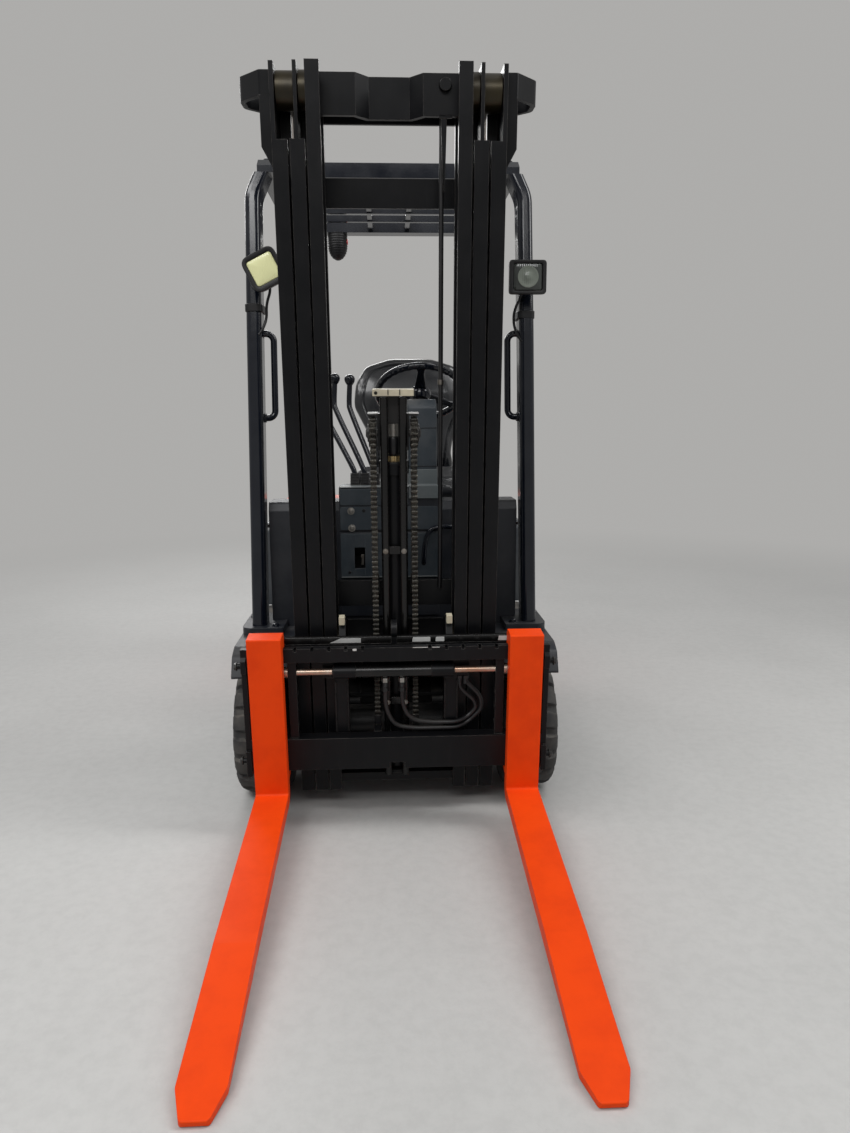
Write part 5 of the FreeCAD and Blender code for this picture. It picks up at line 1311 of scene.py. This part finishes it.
@dataclass
class Guard(Assembly):
    """The overhead guard's bolts and welds, and the lamps that hang on it."""

    leg_x: float = 456.0

    @staticmethod
    def row(half_w: float, half_h: float, radius: float, y: float) -> np.ndarray:
        """Returns one upright outline with round corners."""
        outline = oblong(-half_w, half_w, -half_h, half_h, radius, 7)
        return np.stack([outline[:, 0], np.full(len(outline), y), outline[:, 1]], 1)

    def shell(self, half_w: float, half_h: float, lens_w: float, lens_h: float, deep: float,
              bend: float) -> Part:
        """Returns a lamp's housing: rows of outlines from its finned back to the lens's recess."""
        back = ((0.72, 0), (0.80, 2), (0.80, 9), (0.76, 10), (0.76, 13), (0.86, 14), (0.86, 20), (0.82, 21),
                (0.82, 24), (0.93, 25))
        sides = ((0.99, 12), (1.0, 6), (1.0, -4), (0.985, -7))
        rows = [(share, deep - down) for share, down in back] + list(sides)
        fins = [self.row(half_w * share, half_h * share, bend, y) for share, y in rows]
        front = [self.row(lens_w + more, lens_h + more, bend * share, y)
                 for more, share, y in ((4, 0.6, -8), (1, 0.5, -6), (0, 0.5, 3))]
        return rings(np.stack(fins + front))

    def headlamps(self) -> None:
        """Shows both headlamps: a plain grey lens on the left, a pale yellow one turned on the right."""
        left_x, right_x = self.leg_x - 12, 52 - self.leg_x
        lamps = (("left", left_x, 1735.0, 61.0, 53.0, 62.0, 12.0, 46.0, 41.0, 0.0, "grey_lens", 1),
                 ("right", right_x, 1757.0, 58.0, 58.0, 60.0, 28.0, 43.0, 41.0, -27.0, "lamp_glass", -1))
        cases, straps = [], []
        for name, x, z, half_w, half_h, deep, bend, lens_w, lens_h, turn, look, s in lamps:
            case = self.shell(half_w, half_h, lens_w, lens_h, deep, bend)
            cases.append(case.turned(turn, "Y").moved(x, 0, z))
            outline = oblong(-lens_w, lens_w, -lens_h, lens_h, 8, 6)
            rows = ((1, 4), (1, -4), (0.96, -6), (0.8, -7.5), (0.4, -8.6), (0.1, -8.9))
            grid = np.stack([np.stack([outline[:, 0] * k, np.full(len(outline), y), outline[:, 1] * k], 1)
                             for k, y in rows])
            self.show("lens_" + name, rings(grid).turned(turn, "Y").moved(x, 0, z), look,
                      replaces=("headlamp_lenses",) if s > 0 else ())
            arm = s * (self.leg_x - 10)
            flat = block(arm - 13, arm + 13, deep - 6, 96, z - 15, z - 9)
            straps += [flat, flat.moved(0, 0, 24), block(arm - 13, arm + 13, 76, 82, z - 15, z + 15),
                       lathe([(deep - 8, 10), (deep + 14, 10)], 20, Axis.Y).moved(arm, 0, z),
                       bolt(7, 6, Axis.Z).moved(arm, deep + 10, z + 15)]
            wire = tube([(x, deep - 4, z - 20), (x - s * 10, deep + 14, z - 50), (arm - s * 34, 76, z - 96),
                         (arm - s * 32, 90, z - 140), (arm - s * 20, 74, z - 176),
                         (arm - s * 6, 66, z - 196)], 4.6)
            loop = oblong(-27.5, 27.5, -48, 48, 18)
            grid = np.stack([np.stack([loop[:, 0] * k, loop[:, 1] * k, np.full(len(loop), h)], 1)
                             for k, h in ((1.0, -13), (1.07, -11), (1.07, 11), (1.0, 13))])
            straps += [wire, rings(grid).moved(s * (self.leg_x - 2), 117, z - 108)]
        bowl = lathe([(-9.6, 33), (-10.4, 34), (-10.6, 30), (-9.9, 27), (-9.8, 12), (-11.2, 9), (-11.6, 3)],
                     40, Axis.Y)
        self.show("lamp_bowl", bowl.moved(left_x, 0, lamps[0][2]), "lamp_bowl")
        self.show("lamp_cases", joined(cases), "lamp_black", replaces=("headlamps",), sharp=50)
        self.show("lamp_straps", joined(straps), "lamp_black", bevel=0.8)

    def rear_lamp(self) -> None:
        """Shows the ribbed dome under the roof, with a red spot on its left side."""
        t = np.linspace(0, 1, 45)
        round_end = np.sqrt(np.clip(1 - (np.clip(t - 0.45, 0, 1) / 0.56) ** 2, 0.01, 1))
        profile = np.stack([2085.5 - 110 * t, 43 * round_end - 1.5 * (np.arange(45) % 4 > 1)], 1)
        dome = lathe(profile, 48, Axis.Z).moved(-225, 1034)
        self.show("rear_lamp_dome", dome, "lamp_black", replaces=("rear_lamp",), sharp=60)
        spot = lathe([(38, 12), (43.6, 12), (45, 9), (45.6, 3)], 24, Axis.X).moved(-225, 1034, 2052)
        self.show("rear_lamp_spot", spot, "red_lens")

    def fixings(self) -> None:
        """Shows the bolts of the legs' feet, the handles' plates and the welds of the roof's bars."""
        feet = joined([bolt(10, 9, Axis.Z).moved(x, y, 580) for x, y in ((414, 12), (414, 150), (508, 150))])
        pads = joined([slab(oblong(-15, 15, -11, 11, 5), -2, 3).turned(90, "Y").moved(
            self.leg_x - 24, y, z) for y, z in ((104, 1290), (119, 1570))])
        self.show("guard_bolts", both(joined([feet, pads])), "guard_blue_black")
        ys = 440.0 + 134.0 * np.arange(4)
        bars = [weld((381, y - 11, 2106), (381, y + 11, 2106), 2.6) for y in ys]
        ribs = [weld((68, y + 10.5, 2110), (90, y + 10.5, 2110), 2.4) for y in ys]
        self.show("roof_welds", both(joined(bars + ribs)), "guard_blue_black")
        corners = joined([bolt(9, 8, Axis.Z).moved(408, y, 2132) for y in (190, 225, 1020, 1050)])
        self.show("roof_bolts", both(corners), "guard_blue_black")

    def build(self) -> None:
        """Shows all of it."""
        self.headlamps()
        self.rear_lamp()
        self.fixings()


@dataclass
class Seat(Assembly):
    """The seat: a blown-up cushion and back with stitched seams, on its shell with a bellows."""

    middle: float = 90.0
    step: float = 0.008
    swell: float = 0.016
    pinned: float = 0.2
    frames: int = 20

    CLOTH = {"quality": 5, "mass": 0.3, "tension_stiffness": 20, "compression_stiffness": 20,
             "bending_stiffness": 2.0, "use_pressure": True, "uniform_pressure_force": 4.0,
             "vertex_group_mass": "pinned"}

    def stuffed(self, name: str, source: str) -> bpy.types.Object:
        """Makes a soft piece from a copy of its solid: remeshed evenly, blown up as cloth and smoothed.

        Args:
            name: The new piece's name.
            source: The solid.

        Returns:
            The object, with its mesh in metres in the row frame.
        """
        node = self.shop.frame["nodes"][source]
        mesh = node.data.copy()
        mesh.transform(node.matrix_world)
        mesh.materials.clear()
        made = placed(name, mesh)
        remesh = made.modifiers.new("even", "REMESH")
        remesh.mode = "VOXEL"
        remesh.voxel_size = self.step
        self.soften(made, 4)
        rest = self.points(made)
        self.blow(made, rest)
        return made

    def blow(self, made: bpy.types.Object, rest: np.ndarray) -> None:
        """Runs the cloth with its lower fifth pinned, and holds every point within the swell of its place."""
        low, high = rest[:, 2].min(), rest[:, 2].max()
        group = made.vertex_groups.new(name="pinned")
        pinned = np.flatnonzero(rest[:, 2] < low + self.pinned * (high - low))
        group.add(pinned.tolist(), 1.0, "REPLACE")
        cloth = made.modifiers.new("cloth", "CLOTH")
        for label, value in self.CLOTH.items():
            setattr(cloth.settings, label, value)
        cloth.settings.effector_weights.gravity = 0.0
        cloth.collision_settings.use_collision = False
        cloth.point_cache.frame_start = 1
        cloth.point_cache.frame_end = self.frames
        for frame in range(1, self.frames + 1):
            bpy.context.scene.frame_set(frame)
            bpy.context.view_layer.update()
        self.freeze(made)
        bpy.context.scene.frame_set(1)
        shift = self.points(made) - rest
        length = np.linalg.norm(shift, axis=1, keepdims=True)
        shift *= np.minimum(1.0, self.swell / np.maximum(length, 1e-9))
        self.place(made, rest + shift)
        self.soften(made, 14)

    def soften(self, made: bpy.types.Object, rounds: int) -> None:
        """Evens the mesh out, halfway to its neighbours' middle in each round."""
        modifier = made.modifiers.new("soften", "SMOOTH")
        modifier.factor = 0.5
        modifier.iterations = rounds
        self.freeze(made)

    @staticmethod
    def freeze(made: bpy.types.Object) -> None:
        """Turns what the modifiers make into the piece's own mesh."""
        seen = made.evaluated_get(bpy.context.evaluated_depsgraph_get())
        mesh = bpy.data.meshes.new_from_object(seen)
        made.modifiers.clear()
        made.data = mesh

    @staticmethod
    def points(made: bpy.types.Object) -> np.ndarray:
        """Returns the mesh's points."""
        flat = np.empty(len(made.data.vertices) * 3)
        made.data.vertices.foreach_get("co", flat)
        return flat.reshape(-1, 3)

    @staticmethod
    def place(made: bpy.types.Object, points: np.ndarray) -> None:
        """Sets the mesh's points."""
        made.data.vertices.foreach_set("co", points.ravel())
        made.data.update()

    def smooth(self, made: bpy.types.Object) -> None:
        """Divides the mesh once, evenly."""
        modifier = made.modifiers.new("divide", "SUBSURF")
        modifier.levels = modifier.render_levels = 1
        self.freeze(made)

    def cushion(self) -> None:
        """Shows the cushion, sunk along its seams by d exp(-(u / w) ^ 2) at distance u from a seam."""
        made = self.stuffed("seat_cushion_cover", "seat_cushion")
        self.smooth(made)
        points = self.points(made)
        top = np.clip((points[:, 2] - 1.03) / 0.03, 0, 1)
        x = np.abs(points[:, 0] / MM - self.middle)
        y = points[:, 1] / MM - self.shop.place.shift
        sink = np.exp(-((x - 168) / 4.0) ** 2) * ((y > 610) & (y < 930))
        for seam in (690, 770, 850):
            sink = np.maximum(sink, np.exp(-((y - seam) / 4.0) ** 2) * (x < 168) * 0.8)
        points[:, 2] -= 0.009 * sink * top
        bulge = np.clip((x - 172) / 60, 0, 1) * np.clip((240 - x) / 30, 0, 1)
        points[:, 2] += 0.010 * bulge * top
        self.place(made, points)
        self.finish(made, "seat_cushion")

    def back(self) -> None:
        """Shows the back, with a sunk seam and a raised cord 45 mm inside its outline on both faces."""
        made = self.stuffed("seat_back_cover", "seat_back")
        self.smooth(made)
        half = [(170, 954), (206, 1210), (262, 1352), (249, 1460), (208, 1530), (90, 1566)]
        corners = half + [(-x, z) for x, z in reversed(half)]
        outline = rounded(corners, 38, 5)
        points = self.points(made)
        flat = np.stack([points[:, 0] / MM - self.middle, points[:, 2] / MM], 1)
        start, run = outline, np.roll(outline, -1, 0) - outline
        share = np.einsum("nmk,mk->nm", flat[:, None] - start[None], run) / (run ** 2).sum(1)
        nearest = start[None] + np.clip(share, 0, 1)[..., None] * run[None]
        inside = np.sqrt(((flat[:, None] - nearest) ** 2).sum(-1)).min(1)
        normals = np.empty(len(points) * 3)
        made.data.vertices.foreach_get("normal", normals)
        normals = normals.reshape(-1, 3)
        facing = np.clip((np.abs(normals[:, 1]) - 0.5) * 3, 0, 1)[:, None]
        groove = -6.0 * np.exp(-((inside - 45) / 4.0) ** 2) + 3.5 * np.exp(-((inside - 38) / 3.0) ** 2)
        swell = 6.0 * np.clip((inside - 50) / 40, 0, 1)
        points += normals * facing * ((groove + swell) * MM)[:, None]
        self.place(made, points)
        self.finish(made, "seat_back")

    def finish(self, made: bpy.types.Object, source: str) -> None:
        """Gives a soft piece its vinyl cover and its body, and hides the solid that it stands for."""
        self.shop.finish(made, "seat_vinyl", 60)
        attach(made, "hood")
        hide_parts(source)

    def base(self) -> None:
        """Shows the seat's foot: two rails and a bellows of folds between two plates.

        The bellows' half sizes are 176 and 150, less 9 on every other row.
        """
        x = self.middle
        rows = np.linspace(893, 941, 13)
        inset = 9.0 * (np.arange(13) % 2)
        square = oblong(-1, 1, -1, 1, 0.18, 5)
        half = np.stack([176 - inset, 150 - inset], 1)
        grid = np.concatenate([square[None] * half[:, None],
                               np.broadcast_to(rows[:, None, None], (13, 20, 1))], -1)
        self.show("seat_bellows", rings(grid).moved(x, 785), "control_black", "hood", replaces=("seat_base",))
        plates = joined([slab(oblong(-204, 204, -174, 174, 20), z, z + t)
                         for z, t in ((879.6, 14), (940, 21))]).moved(x, 785)
        rails = joined([block(x + s * 150 - 14, x + s * 150 + 14, 604, 962, 880, 896) for s in (-1, 1)])
        self.show("seat_plates", joined([plates, rails]), "seat_shell", "hood", 1.5)
        lever = tube([(x + 200, 640, 950), (x + 226, 628, 952), (x + 226, 590, 948), (x + 214, 584, 948)], 5)
        knob = lathe([(0, 7), (2, 10), (16, 11), (22, 8)], 24, Axis.X).moved(x + 204, 690, 948)
        self.show("seat_adjusters", joined([lever, knob]), "control_black", "hood")

    def build(self) -> None:
        """Shows all of it."""
        self.cushion()
        self.back()
        self.base()


@dataclass
class RearBody(Assembly):
    """The hood's fittings, the counterweight's vents, the rear legs' plates and the tail lamps."""

    def hood(self) -> None:
        """Shows the hood's side panels with their grips, its front latch and the ribs on its top."""
        side = slab(oblong(500, 1020, 570, 846, 22), 511.4, 514, Axis.X)
        self.show("hood_panels", both(side), "panel_grey", "hood", 1.5)
        slot = slab(oblong(690, 830, 800, 826, 10), 513.6, 515, Axis.X)
        self.show("hood_grips", both(slot), "control_black", "hood", 0.4)
        latch = joined([plate(-46, 46, 838, 866, 464.4, 471, 8), plate(-34, 34, 845, 859, 461, 465, 5)])
        self.show("hood_latch", latch, "control_black", "hood", 1.0)
        strips = joined([block(x, x + 26, 500, 1000, 879.6, 882.4) for x in (-420, 400, -380, 360)])
        self.show("hood_ribs", strips, "hood_grey", "hood", 1.2)

    def weight(self) -> None:
        """Shows the slatted vents on the rear slope, the towing bore's rim and the legs' plates."""
        frame = plate(66, 246, 728, 880, 1575, 1580, 14)
        slat = slab([(1579, -6), (1584, -3), (1584, 2), (1579, 6)], 82, 230, Axis.X)
        bars = slat.repeated(np.stack([np.zeros(8), np.zeros(8), np.linspace(746, 862, 8)], 1))
        slope = (0.0, 1576.0, 700.0)
        self.show("weight_vents", both(frame.turned(28.9, "X", slope)), "frame_black", bevel=1.5)
        self.show("weight_slats", both(bars.turned(28.9, "X", slope)), "control_black", bevel=0.8)
        rim = lathe([(0, 14), (4, 14), (4, 21), (0, 23)], 32, Axis.Z, True).moved(0, 1530, 739.5)
        self.show("tow_bore_rim", rim, "weight_orange")
        feet = slab(oblong(384, 466, 1140, 1222, 10), 899.5, 908)
        nuts = joined([bolt(8, 8, Axis.Z).moved(x, y, 908) for x in (394, 456) for y in (1212, 1150)])
        self.show("leg_plates", both(joined([feet, nuts])), "guard_blue_black", bevel=1.0)

    def tail_lamps(self) -> None:
        """Shows a round red lamp in a black cup on the back of each rear leg."""
        cup = lathe([(0, 30), (22, 36), (27, 36), (27, 32), (22, 31)], 40, Axis.Y)
        lens = lathe([(21, 31), (27, 31), (30, 26), (31.5, 12), (31.8, 3)], 40, Axis.Y)
        place = (411, 1166, 1440)
        self.show("tail_cups", both(cup.moved(*place)), "lamp_black")
        self.show("tail_lenses", both(lens.moved(*place)), "red_lens")

    def build(self) -> None:
        """Shows all of it."""
        self.hood()
        self.weight()
        self.tail_lamps()


@dataclass
class Studio:
    """The floor, the light and the camera.

    Args:
        camera_at: Where the camera stands, in metres.
        right: The picture's right.
        up: The picture's up.
        ahead: Where the camera looks.
        lens: Focal length in millimetres on a 36 mm high frame.
    """

    camera_at: tuple = (-0.0178, -2.77744, 1.2863)
    right: tuple = (0.998904, -0.046486, -0.005408)
    up: tuple = (0.013789, 0.181932, 0.983214)
    ahead: tuple = (0.044722, 0.982212, -0.182374)
    lens: float = 36.0 * 798.94 / 1133.0

    def floor(self) -> None:
        """Lays a pale concrete floor that fades into the backdrop."""
        mesh = bpy.data.meshes.new("floor")
        half = 40.0
        mesh.from_pydata([(-half, -half, 0), (half, -half, 0), (half, half, 0), (-half, half, 0)], [],
                         [(0, 1, 2, 3)])
        floor = placed("floor", mesh)
        material, graph, shader = begin_material("concrete")
        where = graph.node("ShaderNodeTexCoord").outputs["Object"]
        broad = graph.ramp(graph.noise(where, 1.1, 6.0, 0.6), 0.3, 0.75)
        fine = graph.ramp(graph.noise(where, 26.0, 6.0, 0.7), 0.35, 0.7)
        low = tuple(v * 0.86 for v in Floor.CONCRETE.value)
        colour = graph.mix(graph.maths("MULTIPLY", graph.maths("ADD", broad, fine), 0.5),
                           Floor.CONCRETE.value, low)
        graph.tree.links.new(colour, shader.inputs["Base Color"])
        shader.inputs["Roughness"].default_value = 0.62
        bump = graph.node("ShaderNodeBump", {}, Strength=0.12, Distance=0.002, Height=fine)
        graph.tree.links.new(bump.outputs[0], shader.inputs["Normal"])
        self.fade(graph, where)
        mesh.materials.append(material)

    @staticmethod
    def seen(graph: Graph) -> bpy.types.NodeSocket:
        """Returns 1 for the rays that show the backdrop: the camera's, and those in gloss and glass."""
        ray = graph.node("ShaderNodeLightPath")
        some = graph.maths("MAXIMUM", ray.outputs["Is Camera Ray"], ray.outputs["Is Glossy Ray"])
        return graph.maths("MAXIMUM", some, ray.outputs["Is Transmission Ray"])

    def fade(self, graph: Graph, where: bpy.types.NodeSocket) -> None:
        """Lets the floor's far part take the backdrop's colour, from 2.6 to 7 metres out."""
        out = graph.tree.nodes["Material Output"]
        shader = graph.tree.nodes["Principled BSDF"]
        reach = graph.node("ShaderNodeVectorMath", {"operation": "LENGTH"}, i0=where).outputs["Value"]
        far = graph.maths("MULTIPLY", graph.ramp(reach, 2.6, 7.0), self.seen(graph))
        glow = graph.node("ShaderNodeEmission", {}, Color=(*Floor.WALL.value, 1.0), Strength=1.0)
        mix = graph.node("ShaderNodeMixShader", {}, i0=far, i1=shader.outputs[0], i2=glow.outputs[0])
        graph.tree.links.new(mix.outputs[0], out.inputs["Surface"])

    def lamp(self, name: str, at: tuple, aim: tuple, power: float, size: tuple) -> None:
        """Hangs one soft area light that looks at a point."""
        data = bpy.data.lights.new(name, "AREA")
        data.energy = power
        data.shape = "RECTANGLE"
        data.size, data.size_y = size
        made = placed(name, data)
        made.location = at
        made.rotation_euler = (Vector(aim) - Vector(at)).to_track_quat("-Z", "Y").to_euler()

    def world(self) -> None:
        """Fills the sky: the backdrop's colour for the camera and for what gloss and glass mirror, and a
        fainter cool light for the rest.
        """
        world = bpy.data.worlds.new("room")
        bpy.context.scene.world = world
        world.use_nodes = True
        graph = Graph(world.node_tree)
        back = world.node_tree.nodes["Background"]
        out = world.node_tree.nodes["World Output"]
        back.inputs["Color"].default_value = (0.93, 0.96, 1.0, 1.0)
        back.inputs["Strength"].default_value = 0.24
        wall = graph.node("ShaderNodeBackground", {}, Color=(*Floor.WALL.value, 1.0), Strength=1.0)
        mix = graph.node("ShaderNodeMixShader", {}, i0=self.seen(graph), i1=back.outputs[0],
                         i2=wall.outputs[0])
        world.node_tree.links.new(mix.outputs[0], out.inputs["Surface"])

    def camera(self) -> None:
        """Sets the camera where the photographer stood."""
        data = bpy.data.cameras.new("camera")
        data.sensor_fit = "VERTICAL"
        data.sensor_height = 36.0
        data.lens = self.lens
        made = placed("camera", data)
        turn = Matrix((Vector(self.right), Vector(self.up), -Vector(self.ahead))).transposed()
        made.matrix_world = Matrix.Translation(Vector(self.camera_at)) @ turn.to_4x4()
        bpy.context.scene.camera = made

    def build(self) -> None:
        """Sets up the stage."""
        bpy.context.scene.view_settings.view_transform = "Standard"
        self.floor()
        self.world()
        self.lamp("ceiling_left", (-3.0, -2.5, 5.2), (0, 0, 0.8), 158.0, (5.0, 1.2))
        self.lamp("ceiling_right", (3.4, -1.0, 5.0), (0, 0, 1.0), 176.0, (1.2, 5.0))
        self.lamp("front_fill", (-0.6, -6.0, 5.4), (0, 0, 0.6), 150.0, (4.0, 1.4))
        self.lamp("rear_fill", (-1.5, 6.0, 4.2), (0, 0, 1.0), 160.0, (4.0, 2.0))
        self.camera()


def main() -> None:
    """Builds the truck's looks piece by piece."""
    logging.basicConfig(level=logging.INFO)
    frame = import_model()
    effects = Effects()
    looks = {name: finish.build(name, effects) for name, finish in FINISHES.items()}
    shop = Workshop(frame, Place(), looks)
    shop.dress_solids()
    Studio().build()
    for kind in (Wheels, Chains, Mast, Carriage, Running, Cab, Guard, Seat, RearBody):
        assembly = kind(shop)
        before = shop.shown
        assembly.build()
        LOG.info("%s shows %d pieces", type(assembly).__name__, shop.shown - before)


if __name__ == "__main__":
    main()
